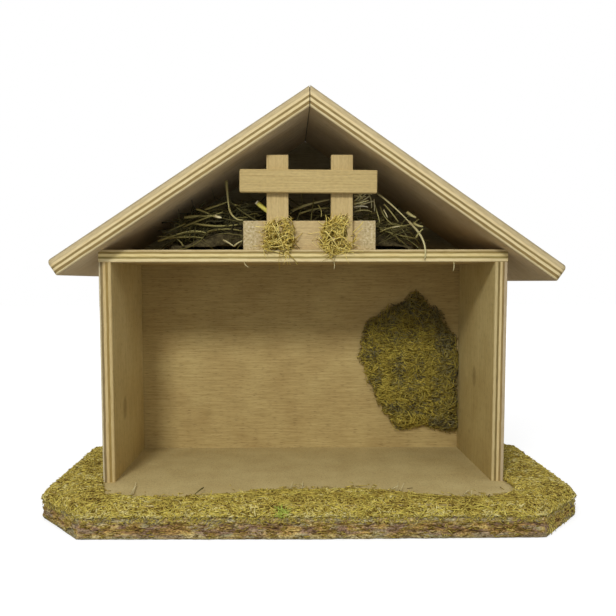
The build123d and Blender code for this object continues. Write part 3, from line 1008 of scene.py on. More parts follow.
    def strands(self, piece: bpy.types.Object, finish: bpy.types.Material) -> bpy.types.Object:
        """Grows the loose strands on the mat.

        Args:
            piece: The mat.
            finish: The strands' finish.

        Returns:
            The strands as one piece.
        """
        rng = np.random.default_rng(self.seed)
        spots, normals = self.scatter(piece, rng)
        if self.crumbs:
            spots, normals = self.strew(piece, spots, normals, rng)
        count = self.count
        drift = cloudiness(spots, self.drift_size, 3.0) * 4 * math.pi
        flow = np.stack([np.cos(drift), np.sin(drift), np.sin(drift * 0.7)], axis=1)
        heading = unit(rng.normal(size=(count, 3)) + 0.8 * flow)
        if self.lay is Lay.MATTED:
            heading = heading * np.array((1.5, 1.0, 0.4))
        flat = unit(heading - np.sum(heading * normals, axis=1, keepdims=True) * normals)
        aside = np.cross(normals, flat)
        rim = np.clip(1 - np.abs(normals[:, 1:2]) / 0.8, 0, 1)
        rise = self.lift * rng.random((count, 1)) ** 1.5 + self.fringe * rim * rng.random((count, 1))
        length = self.shortest + (self.longest - self.shortest) * rng.random((count, 1)) ** 1.5
        turn = self.curl * rng.normal(size=(count, 1))
        layer = rng.random(count)
        straw = np.arange(count) < self.straws
        length = np.where(straw[:, None], 1.3 * self.longest * (0.7 + 0.6 * layer[:, None]), length)
        turn = np.where(straw[:, None], 0.2 * turn, turn)
        layer = np.where(straw, 1.0 + 0.3 * layer, layer)
        start = spots + (layer[:, None] * self.loose - self.sunk) * normals - 0.45 * length * flat
        bend = length * (turn * aside)
        second = 0.45 if self.lay is Lay.CURLED else 0.15
        forward = unit(flat + rise * normals)
        lines = np.stack([
            start,
            start + 0.33 * length * forward,
            start + 0.68 * length * forward + 0.35 * bend + second * rise * length * normals,
            start + (0.95 - 0.25 * np.abs(turn)) * length * flat + bend - 0.1 * rise * length * normals,
        ], axis=1)
        lines = self.keep_clear(lines)
        patch = cloudiness(spots, self.patch_size, 11.0)
        tones = self.clumps * patch + 0.26 * layer + 0.62 * rng.random(count) - self.dim
        tones = np.clip(tones, 0.0, self.palest)
        # Painted light: strands at the lower rim of the moss are made paler to offset the shade under its
        # overhang.
        if self.edge is not None:
            painted_rim_share = np.clip((self.edge.rim_top - spots[:, 2]) / self.painted_rim_fade, 0, 1)
            tones = np.clip(tones + self.painted_rim_light * painted_rim_share, 0.0, self.palest)
        # Strands are made greyer and darker towards the top of the patch, which is its own greyer colour, and
        # towards the right wall, which is painted shade of that wall.
        if self.grey_from is not None:
            low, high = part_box(self.node)
            height = (spots[:, 2] - low.z) / (high.z - low.z)
            aside_share = (spots[:, 0] - low.x) / (high.x - low.x)
            above = np.clip((height - self.grey_from) / 0.2, 0, 1)
            grey = 0.6 * above + 0.55 * np.clip((aside_share - 0.62) / 0.2, 0, 1)
            tones = tones * (1 - 0.58 * np.clip(grey + 0.5 * (patch - 0.5), 0, 1))
        tones = np.where(straw, np.clip(tones + 0.1, *self.straw_tones), tones)
        if self.green is not None:
            away = np.hypot(spots[:, 0] - self.green[0], spots[:, 1] - self.green[1]) / self.green[2]
            tones = np.where(away < rng.uniform(0.2, 1.0, count), self.green_tone, tones)
        widths = self.half_width * rng.uniform(0.6, 1.35, count)
        sides = unit(normals + 0.45 * rng.normal(size=(count, 3)))
        strands = self.shape.grow(self.node + "_strands", lines, widths, tones, sides)
        settle(strands, finish, "moss")
        return strands

    def strew(
        self, piece: bpy.types.Object, spots: np.ndarray, normals: np.ndarray, rng: np.random.Generator,
    ) -> tuple[np.ndarray, np.ndarray]:
        """Moves some of the places off the mat's inner edge, onto the bare board.

        Args:
            piece: The mat.
            spots: The places on the mat.
            normals: The outward direction at each.
            rng: The bed's own random numbers.

        Returns:
            The places and directions, with the crumbs strewn.
        """
        places = vertex_places(piece)
        bins = np.floor(places[:, 0] / self.crumb_step).astype(int)
        rim = np.full(bins.max() - bins.min() + 1, -1.0)
        np.maximum.at(rim, bins - bins.min(), places[:, 1])
        chosen = rng.choice(len(spots), self.crumbs, replace=False)
        across = np.floor(spots[chosen, 0] / self.crumb_step).astype(int) - bins.min()
        across = np.clip(across, 0, len(rim) - 1)
        spots, normals = spots.copy(), normals.copy()
        spots[chosen, 1] = rim[across] + rng.exponential(self.crumb_reach, self.crumbs) - self.crumb_back
        spots[chosen, 2] = self.board_top
        normals[chosen] = (0.0, 0.0, 1.0)
        return spots, normals

    def keep_clear(self, lines: np.ndarray) -> np.ndarray:
        """Keeps points inside the base's outline or out of the boards behind them.

        Args:
            lines: The mat's vertices or the strands' control points.

        Returns:
            The points, moved where they stood outside.
        """
        if self.edge is not None:
            lines = self.edge.hold(lines, self.proud)
            lines[..., 2] = np.maximum(lines[..., 2], self.lowest)
            return lines
        lines[..., 1] = np.minimum(lines[..., 1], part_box(self.node)[1].y - self.off_panel)
        lines[..., 0] = np.minimum(lines[..., 0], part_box("right_wall")[0].x - self.off_wall)
        return lines


@dataclass
class BarkEdging:
    """The five bark strips round the base, each a slab of fibres and flakes from its own mitred solid."""

    edge: BaseEdge = BaseEdge()
    height: float = 14 * MM
    lift: float = 0.6 * MM
    voxel: float = 0.75 * MM
    fibres_per_mm: float = 6.0
    flare: float = 5.0 * MM
    flare_from: float = 9 * MM
    mitre_reach: float = 12 * MM
    bits_per_mm: float = 6.0
    tuft_reach: float = 3.5 * MM
    tufts: tuple[float, ...] = (-165 * MM, -65.6 * MM, 90 * MM, 133 * MM)
    mossy_strip: str = "bark_corner_right"
    seed: int = 41
    lean_shares: tuple[tuple[float, float], ...] = ((0.0, 1.0), (154 * MM, 0.6), (193 * MM, 0.0))
    fibre_reach_mm: tuple[float, float] = (1.5, 10.0)
    fibre_thick_mm: tuple[float, float] = (0.3, 0.8)
    fibre_relief_mm: tuple[float, float] = (-1.0, 0.7)
    fibre_slope: float = 0.09
    skin: float = 3 * MM
    sunk: float = 0.3 * MM
    deepest: float = -2.0 * MM
    proudest: float = 0.5 * MM
    ragged_size: float = 5 * MM
    ragged_mm: float = 0.4
    foot_reach: float = 2.5 * MM
    crumb_share: float = 0.36
    bit_length_mm: tuple[float, float] = (1.4, 4.4)
    bit_width_mm: tuple[float, float] = (0.22, 0.42)
    bit_bow_mm: tuple[float, float] = (0.0, 0.6)
    bits_from: float = 2.0 * MM
    bits_past: float = 0.5 * MM
    bit_root: float = 0.3 * MM
    bit_heights: tuple[float, float] = (0.5 * MM, 22 * MM)

    def build(self, finish: bpy.types.Material, moss: bpy.types.Material) -> None:
        """Makes every strip, dresses it and lets bits of moss hang on it.

        Args:
            finish: The bark's finish.
            moss: The moss strands' finish.
        """
        for index, (node, (start, end)) in enumerate(self.edge.runs().items()):
            piece = copy_of_node(node, node + "_flakes")
            apply_modifier(piece, "REMESH", mode="VOXEL", voxel_size=self.voxel)
            rng = np.random.default_rng(self.seed + index)
            self.flake(piece, index, start, end, rng)
            settle(piece, finish, "bark", node)
            settle(self.moss_bits(node, index, start, end, rng), moss, "moss")

    def lean_of(self, points: np.ndarray) -> np.ndarray:
        """Gives how far the strips lean out at each point: most at the foot of the front."""
        share = np.interp(np.abs(points[..., 0]), *zip(*self.lean_shares))
        return self.flare * share * np.clip(1 - points[..., 2] / self.flare_from, 0, 1)

    def lean_ways(self, points: np.ndarray, index: int) -> np.ndarray:
        """Gives the way in which a strip leans: straight out, and along the mitre beside its joints.

        Args:
            points: Points of the strip.
            index: The strip's number along the edge.

        Returns:
            A direction for each point, the same on both sides of a joint, so that the joint stays shut.
        """
        sides = self.edge.sides()
        outward = sides[index][1]
        ways = np.broadcast_to(outward, points.shape).copy()
        for joint, other in ((index, index - 1), (index + 1, index + 1)):
            if not 0 <= other < len(sides):
                continue
            both = outward + sides[other][1]
            aside = unit(np.array((-both[1], both[0], 0.0)))
            off = np.abs((points - sides[joint][0]) @ aside)
            near = 1 - np.clip(off / self.mitre_reach, 0, 1)
            ways += near[..., None] * (both / (1 + outward @ sides[other][1]) - outward)
        return ways

    def flake(
        self, piece: bpy.types.Object, index: int, start: Vector, end: Vector, rng: np.random.Generator,
    ) -> None:
        """Raises fibres and flakes on a strip's outer face and notes each place's tone.

        Args:
            piece: The strip.
            index: Its number along the edge.
            start: Where its run starts.
            end: Where its run ends.
            rng: The strip's own random numbers.
        """
        places = vertex_places(piece)
        run = np.array((end - start).normalized())
        outward = np.array((run[1], -run[0], 0.0))
        away = places - np.array(start)
        along, up, out = away @ run, places[:, 2], away @ outward
        length = (end - start).length
        relief = np.zeros(len(places))
        tone = np.full(len(places), 0.5)
        for _ in range(int(length / MM * self.fibres_per_mm)):
            middle, reach = rng.uniform(0, length), rng.uniform(*self.fibre_reach_mm) * MM
            height, thick = rng.uniform(0, self.height), rng.uniform(*self.fibre_thick_mm) * MM
            slope = rng.normal() * self.fibre_slope
            off = (up - height - slope * (along - middle)) / thick
            fade = np.clip(1 - np.abs((along - middle) / reach), 0, 1) ** 0.4
            weight = np.exp(-off * off) * fade
            relief += weight * rng.uniform(*self.fibre_relief_mm) * MM * 0.75
            band_and_painted_light = 0.16 * math.cos(2 * math.pi * (height / self.height - 0.12) * 1.5)
            # Painted light: fibres in the top of the strip are made paler, standing in for light on the bark
            # just under the moss's lip.
            band_and_painted_light += 0.3 * float(np.clip((height / self.height - 0.62) / 0.2, 0, 1))
            tone += weight * (np.clip(rng.uniform(0.0, 1.0) + band_and_painted_light, 0.0, 1.0) - tone) * 0.85
        outer = np.clip(out / self.skin, 0, 1)
        hem = np.clip(np.minimum(up, self.height - up) / self.skin, 0.25, 1)
        relief = np.clip(relief - self.sunk, self.deepest, self.proudest) * outer * hem
        lean = (self.lean_of(places) * outer)[:, None] * self.lean_ways(places, index)
        ragged = np.abs(cloudiness(places, self.ragged_size, 7.0) - 0.5) * self.ragged_mm * MM
        low = np.clip(1 - (up - self.lift) / self.foot_reach, 0, 1)
        drop = low * (ragged * outer - self.lift)
        place_vertices(piece, places + relief[:, None] * outward + lean + drop[:, None] * UP)
        spot = piece.data.attributes.new(BARK_PLACE, "FLOAT_VECTOR", "POINT")
        spot.data.foreach_set("vector", np.stack([along, up, out], axis=1).ravel())
        piece.data.attributes.new(BARK_TONE, "FLOAT", "POINT").data.foreach_set("value", tone)
        make_active(piece)
        bpy.ops.object.shade_smooth()

    def moss_bits(
        self, node: str, index: int, start: Vector, end: Vector, rng: np.random.Generator,
    ) -> bpy.types.Object:
        """Grows the bits of moss that hang over and cling to a strip.

        Args:
            node: The strip's node.
            index: Its number along the edge.
            start: Where its run starts.
            end: Where its run ends.
            rng: The strip's own random numbers.

        Returns:
            The bits as one piece.
        """
        run = np.array((end - start).normalized())
        outward = np.array((run[1], -run[0], 0.0))
        length = (end - start).length
        mossy = node == self.mossy_strip
        count = int(length / MM * self.bits_per_mm)
        along = rng.uniform(0, length, count)
        where = np.array(start) + along[:, None] * run
        clump = np.min(np.abs(where[:, :1] - np.array(self.tufts)), axis=1) < self.tuft_reach
        clump |= mossy
        crumb = rng.random(count) < (0.0 if mossy else self.crumb_share)
        hang = np.where(clump, rng.random(count) ** 1.5, 0.4 * rng.random(count) ** 1.4)
        hang = np.where(crumb, 0.35 + 0.65 * rng.random(count), hang)
        up = self.height + self.bits_from - hang * (self.height + self.bits_past)
        root = where + outward * (self.edge.bark_thick - self.bit_root) + up[:, None] * UP
        steep = np.where(crumb, 0.2, 1.2) * rng.normal(size=count)
        way = unit(np.sign(rng.normal(size=(count, 1))) * run + steep[:, None] * UP)
        size = rng.uniform(*self.bit_length_mm, (count, 1)) * MM
        bow = rng.uniform(*self.bit_bow_mm, (count, 1)) * MM * outward
        bow = bow + rng.normal(size=(count, 1)) * 0.1 * size * UP
        lines = np.stack([
            root - 0.5 * size * way, root - 0.16 * size * way + bow, root + 0.16 * size * way + bow,
            root + 0.5 * size * way,
        ], axis=1)
        lines += self.lean_of(lines)[..., None] * self.lean_ways(lines, index)
        lines[..., 2] = np.clip(lines[..., 2], *self.bit_heights)
        tones = np.where(crumb, 0.06 + 0.3 * rng.random(count), 0.26 + 0.55 * rng.beta(1.6, 1.6, count))
        widths = rng.uniform(*self.bit_width_mm, count) * MM
        sides = unit(outward + 0.5 * rng.normal(size=(count, 3)))
        return FLAKE.grow(node + "_moss_bits", lines, widths, tones, sides)


@dataclass
class House:
    """The plywood house on its board: walls, loft floor, back panel and the two unequal roof panels."""

    wall: Plywood = field(default_factory=lambda: Plywood(
        "Plywood_birch_sawn_left_wall", 0.72, 0.12 * MM,
        # This face is lighter than the right wall's: painted light for the wall's upper inner face. The foot
        # tone is painted shade near the floor.
        face="#DCCB96", face_dark="#C4B17C", foot_tone="#D4C9AC",
        plies=((0.13, "#CBBE9C"), (0.33, "#86744C"), (0.55, "#C8B07C"), (0.76, "#977F46"), (1.0, "#C2AC78")),
        knots=((70.8 * MM, -8.7 * MM, 9 * MM, 6.5 * MM),),
    ))
    right_wall: Plywood = field(default_factory=lambda: Plywood(
        "Plywood_birch_sawn_right_wall", 0.72, 0.12 * MM,
        # The foot tone is painted shade near the floor.
        face="#CEBE88", face_dark="#B7A56F", foot_tone="#DCD4C0",
        plies=((0.21, "#C2AF7E"), (0.38, "#7D6C3E"), (0.57, "#D2BC88"), (0.74, "#8E784A"), (1.0, "#BBA987")),
        knots=((93.2 * MM, -24.9 * MM, 0.0, 6 * MM),),
    ))
    loft: Plywood = field(default_factory=lambda: Plywood(
        "Plywood_birch_sawn_loft", 0.72, 0.12 * MM, face="#C4AE7E", face_dark="#AC9666",
        plies=((0.15, "#C6B282"), (0.33, "#94804A"), (0.55, "#E0CC90"), (0.73, "#9A8A52"), (1.0, "#DECC9A")),
    ))
    roof: Plywood = field(default_factory=lambda: Plywood(
        "Plywood_birch_sawn_roof", 0.72, 0.12 * MM, face="#CCB894", face_dark="#B4A078", thick=12 * MM,
        plies=(
            (0.13, "#D6C698"), (0.29, "#8A7444"), (0.44, "#DECC9C"), (0.57, "#8E7A4A"), (0.71, "#DCC898"),
            (0.93, "#C2B086"), (1.0, "#A89A7A"),
        ),
    ))
    # Lighter than the right panel's face: painted light for the left panel's underside in the loft.
    left_roof_painted_light_face: str = "#E0CEAC"
    back: Plywood = field(default_factory=lambda: Plywood(
        "Plywood_okoume_thin_back", 0.75, 0.1 * MM, face="#C0AB75", face_dark="#A6915D", thick=4 * MM,
        # Above this height the face into the loft is multiplied darker and bluer: painted shade under the roof.
        grain_length=24 * MM, grain_width=1.3 * MM, painted_shade_above=196 * MM,
        plies=((0.33, "#B89C68"), (0.67, "#8A6E42"), (1.0, "#B89C68")),
    ))
    floor: Fibreboard = field(default_factory=lambda: Fibreboard("Fibreboard_pressed_sanded", 0.8, 0.08 * MM))
    steel: BradSteel = field(default_factory=lambda: BradSteel("Steel_wire_flattened_brads", 0.45, 0.03 * MM))

    def roof_pitch(self, side: int) -> float:
        """Gives a roof panel's slope.

        Args:
            side: -1 for the left panel, 1 for the right one.

        Returns:
            The slope in radians.
        """
        low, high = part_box("loft_floor")
        reach = high.x - LOFT_BEVEL if side > 0 else -low.x - LOFT_BEVEL
        return math.atan2(RIDGE_RISE, reach)

    def roof_board(self, side: int) -> Board:
        """Gives a roof panel's own axes, from its underside up and down its slope.

        Args:
            side: -1 for the left panel, 1 for the right one.

        Returns:
            The panel's axes.
        """
        pitch = self.roof_pitch(side)
        ridge = Vector((0, 0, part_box("loft_floor")[1].z + RIDGE_RISE))
        return Board(
            ridge, Vector((side * math.sin(pitch), 0, math.cos(pitch))),
            Vector((side * math.cos(pitch), 0, -math.sin(pitch))),
        )

    def dress(self) -> None:
        """Gives every board and brad its finish."""
        across_x, across_y, up = Vector((1, 0, 0)), Vector((0, 1, 0)), Vector((0, 0, 1))
        dress_node("left_wall", self.wall.material(
            Board(Vector((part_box("left_wall")[0].x, 0, 0)), across_x, up)))
        dress_node("right_wall", self.right_wall.material(
            Board(Vector((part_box("right_wall")[0].x, 0, 0)), across_x, up)))
        dress_node("loft_floor", self.loft.material(
            Board(Vector((0, 0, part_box("loft_floor")[1].z)), -up, across_x)))
        dress_node("back_panel", self.back.material(
            Board(Vector((0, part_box("back_panel")[0].y, 0)), across_y, across_x)))
        # The left panel gets a paler copy of the roof plywood: painted light on its underside.
        left_roof = replace(self.roof, name=self.roof.name + "_left", face=self.left_roof_painted_light_face)
        dress_node("roof_left", left_roof.material(self.roof_board(-1)))
        dress_node("roof_right", self.roof.material(self.roof_board(1)))
        dress_node("base_board", self.floor.material())
        steel = self.steel.material()
        for node in ("base_brads", "loft_brads", "back_brads", "roof_brads", "ridge_brads"):
            dress_node(node, steel)


@dataclass(frozen=True)
class DriedGlue(Finish):
    """Wood glue squeezed out and dried: dark amber with dust in it, a little glossier than the wood."""

    dark: str = "#3E2E1A"
    pale: str = "#6A5232"
    grain: float = 1.5 * MM

    def material(self) -> bpy.types.Material:
        """Makes the glue.

        Returns:
            The finished material.
        """
        material, tree = self.start()
        place = add_node(tree, "TexCoord")["Object"]
        dust = add_node(tree, "TexNoise", {"Vector": place, "Scale": 1 / self.grain, "Detail": 4.0})[0]
        colour = add_node(tree, "ValToRGB", {"Fac": dust}, ((0.35, self.dark), (0.65, self.pale)))[0]
        self.close(tree, colour, dust)
        return material


@dataclass
class RidgeGlue:
    """The seam of glue that closes the mitre of the two roof panels, set back from their front edge."""

    wide: float = 0.5 * MM
    set_back: float = 2.5 * MM
    bottom_z: float = 293.4 * MM
    top_z: float = 306.4 * MM
    cuts: int = 12
    wave: float = 0.12 * MM
    finish: DriedGlue = DriedGlue("Glue_wood_dried_seam", 0.5, 0.1 * MM)

    def build(self) -> None:
        """Makes the seam as a thin wavy slab."""
        low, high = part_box("roof_left")
        front, rear = low.y + self.set_back, high.y - self.set_back
        clear_selection()
        bpy.ops.mesh.primitive_cube_add(
            size=1.0, location=(0, (front + rear) / 2, (self.bottom_z + self.top_z) / 2),
        )
        seam = bpy.context.object
        seam.name = "ridge_glue"
        seam.scale = (self.wide, rear - front, self.top_z - self.bottom_z)
        bpy.ops.object.transform_apply(location=True, scale=True)
        bpy.ops.object.mode_set(mode="EDIT")
        bpy.ops.mesh.select_all(action="SELECT")
        bpy.ops.mesh.subdivide(number_cuts=self.cuts)
        bpy.ops.transform.vertex_random(offset=self.wave, uniform=0.2, seed=9)
        bpy.ops.object.mode_set(mode="OBJECT")
        settle(seam, self.finish.material(), "roof_plywood")


@dataclass
class Fence:
    """The little fence in the loft: two posts, a rail across them and a plank on its edge behind their feet."""

    post: SawnSlat = field(default_factory=lambda: SawnSlat("Spruce_slat_sawn_post", 0.75, 0.12 * MM))
    rail: SawnSlat = field(default_factory=lambda: SawnSlat(
        "Spruce_slat_sawn_rail", 0.75, 0.12 * MM, pale="#C4AE76", dark="#AE9660"))
    plank: SawnSlat = field(default_factory=lambda: SawnSlat(
        "Spruce_plank_rough_sawn", 0.82, 0.2 * MM, pale="#CBB582", dark="#B9A172", speck_share=0.26,
        length=98 * MM, worn_end=17 * MM))

    def dress(self) -> None:
        """Gives each slat its own grain."""
        up, across = Vector((0, 0, 1)), Vector((1, 0, 0))
        inwards = Vector((0, 1, 0))
        for node in ("fence_post_left", "fence_post_right"):
            dress_node(node, self.post.material(Board(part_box(node)[0], inwards, up)))
        dress_node("fence_rail", self.rail.material(Board(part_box("fence_rail")[0], inwards, across)))
        dress_node("fence_plank", self.plank.material(Board(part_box("fence_plank")[0], inwards, across)))


@dataclass
class MossCover:
    """All the moss: mats round the base, two tufts at the feet of the posts and the patch on the back panel."""

    felt: PressedMoss = field(default_factory=lambda: PressedMoss("Moss_dried_pressed_felt", 0.95, 0.6 * MM))
    stems: StrandFinish = field(default_factory=lambda: StrandFinish(
        "Moss_dried_stems", 0.85, 0.1 * MM,
        tones=(
            "#42300E", "#6C541E", "#9A8236", "#B8A248", "#C8B253", "#D4C05C", "#DECC6A", "#D6C658", "#E6D888",
            "#EEE6B6", "#AEC22E",
        ),
    ))
    tuft_stems: StrandFinish = field(default_factory=lambda: StrandFinish(
        "Moss_dried_curled_fibres", 0.85, 0.1 * MM,
        tones=("#52400F", "#9C8230", "#D6BC56", "#ECD676", "#F6E48C", "#E2CE6C", "#FCF6CC"),
    ))
    patch_stems: StrandFinish = field(default_factory=lambda: StrandFinish(
        "Moss_dried_wall_stems", 0.85, 0.1 * MM,
        tones=("#5C583E", "#7E7858", "#92895A", "#A89848", "#BEAC4C", "#D2BE54", "#DECC64", "#EEE2A4"),
    ))

    def beds(self) -> tuple[tuple[Bed, StrandFinish], ...]:
        """Lists the beds with the finish of their strands.

        Returns:
            For each bed, the bed and its finish.
        """
        fine = StrandShape(sides=3, cuts=5, tip=0.6, flat=0.7)
        tuft = {
            "lay": Lay.CURLED, "voxel": 1.0 * MM, "lump": 7 * MM, "lump_height": 7 * MM, "shortest": 2.8 * MM,
            "longest": 5.2 * MM, "half_width": 0.42 * MM, "lift": 0.8, "curl": 1.5, "loose": 3 * MM,
            "shape": fine, "shrink": (0.8, 0.5, 0.96), "gaps": 0.42,
        }
        edge = BaseEdge()
        return (
            (Bed(
                "moss_front", 12500, 1, edge=edge, crumbs=800, straws=420, dim=0.19, draw_in=6 * MM,
                green=(-21 * MM, -79 * MM, 7 * MM),
            ), self.stems),
            (Bed("moss_left", 5600, 2, edge=edge), self.stems),
            (Bed("moss_right", 5600, 3, edge=edge), self.stems),
            (Bed(
                "moss_patch", 7500, 4, shortest=3.5 * MM, longest=10 * MM, half_width=0.42 * MM, lift=0.4,
                curl=0.5, lump=15 * MM, lump_height=6 * MM, loose=3 * MM, shrink=(0.99, 0.52, 0.99),
                grey_from=0.62, fringe=2.4, clumps=0.62, dim=0.22,
            ), self.patch_stems),
            (Bed("moss_tuft_left", 560, 5, **tuft), self.tuft_stems),
            (Bed("moss_tuft_right", 680, 6, **tuft), self.tuft_stems),
        )

    def build(self) -> bpy.types.Material:
        """Grows every bed.

        Returns:
            The finish of the stems on the base, which cling to the bark too.
        """
        felt = self.felt.material()
        kinds = (self.stems, self.tuft_stems, self.patch_stems)
        finishes = {kind.name: kind.material() for kind in kinds}
        for bed, finish in self.beds():
            bed.strands(bed.mat(felt), finishes[finish.name])
        return finishes[self.stems.name]


@dataclass(frozen=True)
class Sight:
    """The photograph's camera: what is seen at a point of its frame lies on one line from its place."""

    place: tuple[float, float, float] = (-16.12 * MM, -497.77 * MM, 170.70 * MM)
    tilt: tuple[float, float, float] = (math.pi / 2 - 0.0691, 0.0016, -0.0081)
    shift: tuple[float, float] = (0.0254, 0.0294)
    lens: float = 37.62
    sensor: float = 36.0
    frame_width: int = 616

    def places(
        self, seen: tuple[tuple[float, float], ...], level: Level, known_mm: tuple[float, ...],
    ) -> np.ndarray:
        """Finds the places that are seen at points of the frame.

        Args:
            seen: The points, in pixels from the frame's upper left corner.
            level: Whether the places' depths or their heights are known.
            known_mm: The depths or heights, spread evenly over the points.

        Returns:
            Rows of x, y, z.
        """
        spread = np.linspace(0, 1, len(known_mm))
        known = np.interp(np.linspace(0, 1, len(seen)), spread, known_mm) * MM
        across, down = np.array(seen).T / self.frame_width
        rays = np.stack([
            (across - 0.5 + self.shift[0]) * self.sensor,
            (0.5 - down + self.shift[1]) * self.sensor,
            np.full(len(seen), -self.lens),
        ], axis=1) @ np.array(Euler(self.tilt).to_matrix()).T
        origin = np.array(self.place)
        reach = (known - origin[level.value]) / rays[:, level.value]
        return origin + reach[:, None] * rays

    def curve_through(
        self, seen: tuple[tuple[float, float], ...], depths_mm: tuple[float, ...],
    ) -> np.ndarray:
        """Works out the curve that runs through points of the frame.

        Args:
            seen: Three points or more, in pixels from the frame's upper left corner.
            depths_mm: How deep they lie, spread evenly over the points.

        Returns:
            The curve's four control points.
        """
        places = self.places(seen, Level.DEPTH, depths_mm)
        first, last = places[0], places[-1]
        along = np.concatenate([[0.0], np.cumsum(np.linalg.norm(np.diff(places, axis=0), axis=1))])
        along = (along / along[-1])[:, None]
        back = 1 - along
        if len(seen) == 3:
            middle = places[1] - back[1]**2 * first - along[1]**2 * last
            pull = middle / (2 * along[1] * back[1])
            return np.stack([first, first + 2 / 3 * (pull - first), last + 2 / 3 * (pull - last), last])
        weights = np.concatenate([3 * back**2 * along, 3 * back * along**2], axis=1)
        rest = places - back**3 * first - along**3 * last
        return np.stack([first, *np.linalg.lstsq(weights, rest, rcond=None)[0], last])


@dataclass(frozen=True)
class Stem:
    """A single stem: the four control points of its curve, its half width in mm and its tone."""

    curve: np.ndarray
    half_mm: float
    tone: float


@dataclass
class LoftHay:
    """The hay under the roof: a heap of crossed blades, and the single stems that show at the front."""

    seed: int = 71
    count: int = 560
    left_x: float = -119.5 * MM
    right_x: float = 95.5 * MM
    front_y: float = -10.2 * MM
    rear_y: float = 75.2 * MM
    heap_height: float = 40 * MM
    left_end: float = -146 * MM
    right_end: float = 138 * MM
    clearance: float = 1.2 * MM
    floor_gap: float = 0.7 * MM
    voxel: float = 2.2 * MM
    lump: float = 14 * MM
    lump_height: float = 6 * MM
    end_gap: float = 18 * MM
    dense_to: float = -34 * MM
    dense_share: float = 0.66
    behind_front: float = 1 * MM
    least_behind: float = 0.5 * MM
    paler_from: float = 20 * MM
    blade_length_mm: tuple[float, float] = (14.0, 44.0)
    blade_width_mm: tuple[float, float] = (0.3, 0.85)
    tangle_forward_mm: float = 0.45
    straw_heights_mm: tuple[float, ...] = (22.2, 23.1, 23.1, 22.2)
    straw_half_mm: float = 0.4
    straw_tones: tuple[float, ...] = (0.8, 0.76, 0.82)
    stub_root_mm: tuple[float, float, float] = (-26.5, -12.0, 219.6)
    stub_cut_mm: tuple[float, float, float] = (-38.0, -14.4, 229.0)
    stub_halves_mm: tuple[float, float] = (1.7, 1.72)
    stub_tones: tuple[float, float] = (0.9, 0.98)
    stub_end: float = 1.2 * MM
    sight: Sight = Sight()
    blades: StrandFinish = field(default_factory=lambda: StrandFinish(
        "Hay_dried_blades", 0.7, 0.1 * MM,
        tones=(
            "#302E1C", "#444024", "#5A542E", "#6E6838", "#827A46", "#948C54", "#A69E64", "#B8AE76", "#CCC28E",
            "#DED4A8", "#F0E450", "#FFFAE4",
        ),
    ))
    heap: PressedMoss = field(default_factory=lambda: PressedMoss(
        "Hay_pressed_heap", 0.95, 0.6 * MM, dark="#302A1C", middle="#4A422C", pale="#665C3E", crumb=2.5 * MM))

    def roof_room(self, x: np.ndarray) -> np.ndarray:
        """Gives the height of the roof's underside over places across the house.

        Args:
            x: The places.

        Returns:
            The height over each.
        """
        low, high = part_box("loft_floor")
        reach = np.where(x > 0, high.x - LOFT_BEVEL, low.x + LOFT_BEVEL)
        return high.z + RIDGE_RISE * (1 - x / reach)

    def keep_inside(self, points: np.ndarray, front: float) -> np.ndarray:
        """Holds control points under the roof, on the floor and before the back panel.

        Args:
            points: Rows of control points.
            front: How far forward they may reach.

        Returns:
            The points, moved where they stood outside.
        """
        kept = points.copy()
        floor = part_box("loft_floor")[1].z + self.floor_gap
        kept[..., 1] = np.clip(kept[..., 1], front, self.rear_y)
        kept[..., 0] = np.clip(kept[..., 0], self.left_end, self.right_end)
        ceiling = self.roof_room(kept[..., 0]) - self.clearance
        kept[..., 2] = np.clip(kept[..., 2], floor, np.maximum(ceiling, floor))
        return kept

    def build(self) -> None:
        """Makes the heap, its blades and the single stems."""
        heap = copy_of_node("hay_heap", "hay_heap_felt")
        apply_modifier(heap, "REMESH", mode="VOXEL", voxel_size=self.voxel)
        texture = bpy.data.textures.new("hay_lumps", "CLOUDS")
        texture.noise_scale = self.lump
        apply_modifier(
            heap, "DISPLACE", texture=texture, texture_coords="LOCAL", strength=self.lump_height, mid_level=1.2,
        )
        settle(heap, self.heap.material(), "hay", "hay_heap")
        finish = self.blades.material()
        self.loose_blades(finish)
        self.front_stems(finish)

    def loose_blades(self, finish: bpy.types.Material) -> None:
        """Grows the crossed blades over the heap.

        Args:
            finish: The blades' finish.
        """
        rng = np.random.default_rng(self.seed)
        count = self.count
        x = np.where(
            rng.random(count) < self.dense_share,
            rng.uniform(self.left_x + self.end_gap, self.dense_to, count),
            rng.uniform(self.dense_to, self.right_x - self.end_gap, count),
        )
        depth = rng.random(count) ** 1.6
        y = self.front_y + self.behind_front + depth * (self.rear_y - self.front_y)
        middle = (self.left_x + self.right_x) / 2
        crown = 1 - (np.abs(x - middle) / (0.62 * (self.right_x - self.left_x))) ** 2.2
        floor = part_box("loft_floor")[1].z
        piled = np.clip(crown, 0.1, 1) * self.heap_height * rng.uniform(0.35, 1.08, count)
        z = floor + piled * (0.75 + 0.3 * depth)
        root = np.stack([x, y, z], axis=1)
        way = unit(rng.normal(size=(count, 3)) * np.array((1.0, 0.35, 0.34)))
        length = rng.uniform(*self.blade_length_mm, (count, 1)) * MM
        sag = rng.normal(size=(count, 3)) * 0.16 * length + np.array((0, 0, -0.12)) * length
        lines = np.stack([
            root - 0.5 * length * way,
            root - 0.16 * length * way - 0.5 * sag,
            root + 0.16 * length * way - 0.5 * sag,
            root + 0.5 * length * way + sag,
        ], axis=1)
        lines = self.keep_inside(lines, self.front_y + self.least_behind)
        widths = rng.uniform(*self.blade_width_mm, count) * MM
        tones = np.clip(0.58 * rng.beta(1.2, 2.6, count) + 0.13 * (x > self.paler_from), 0, 0.8)
        shape = StrandShape(sides=4, cuts=7, tip=0.35, flat=0.25)
        blades = shape.grow("hay_blades", lines, widths, tones, unit(rng.normal(size=(count, 3))))
        settle(blades, finish, "hay", "hay_stalks")

    def seen_stems(self) -> list[Stem]:
        """Places the stems, leaves and blades before the heap, each along the line where it is seen.

        Returns:
            The stems.
        """
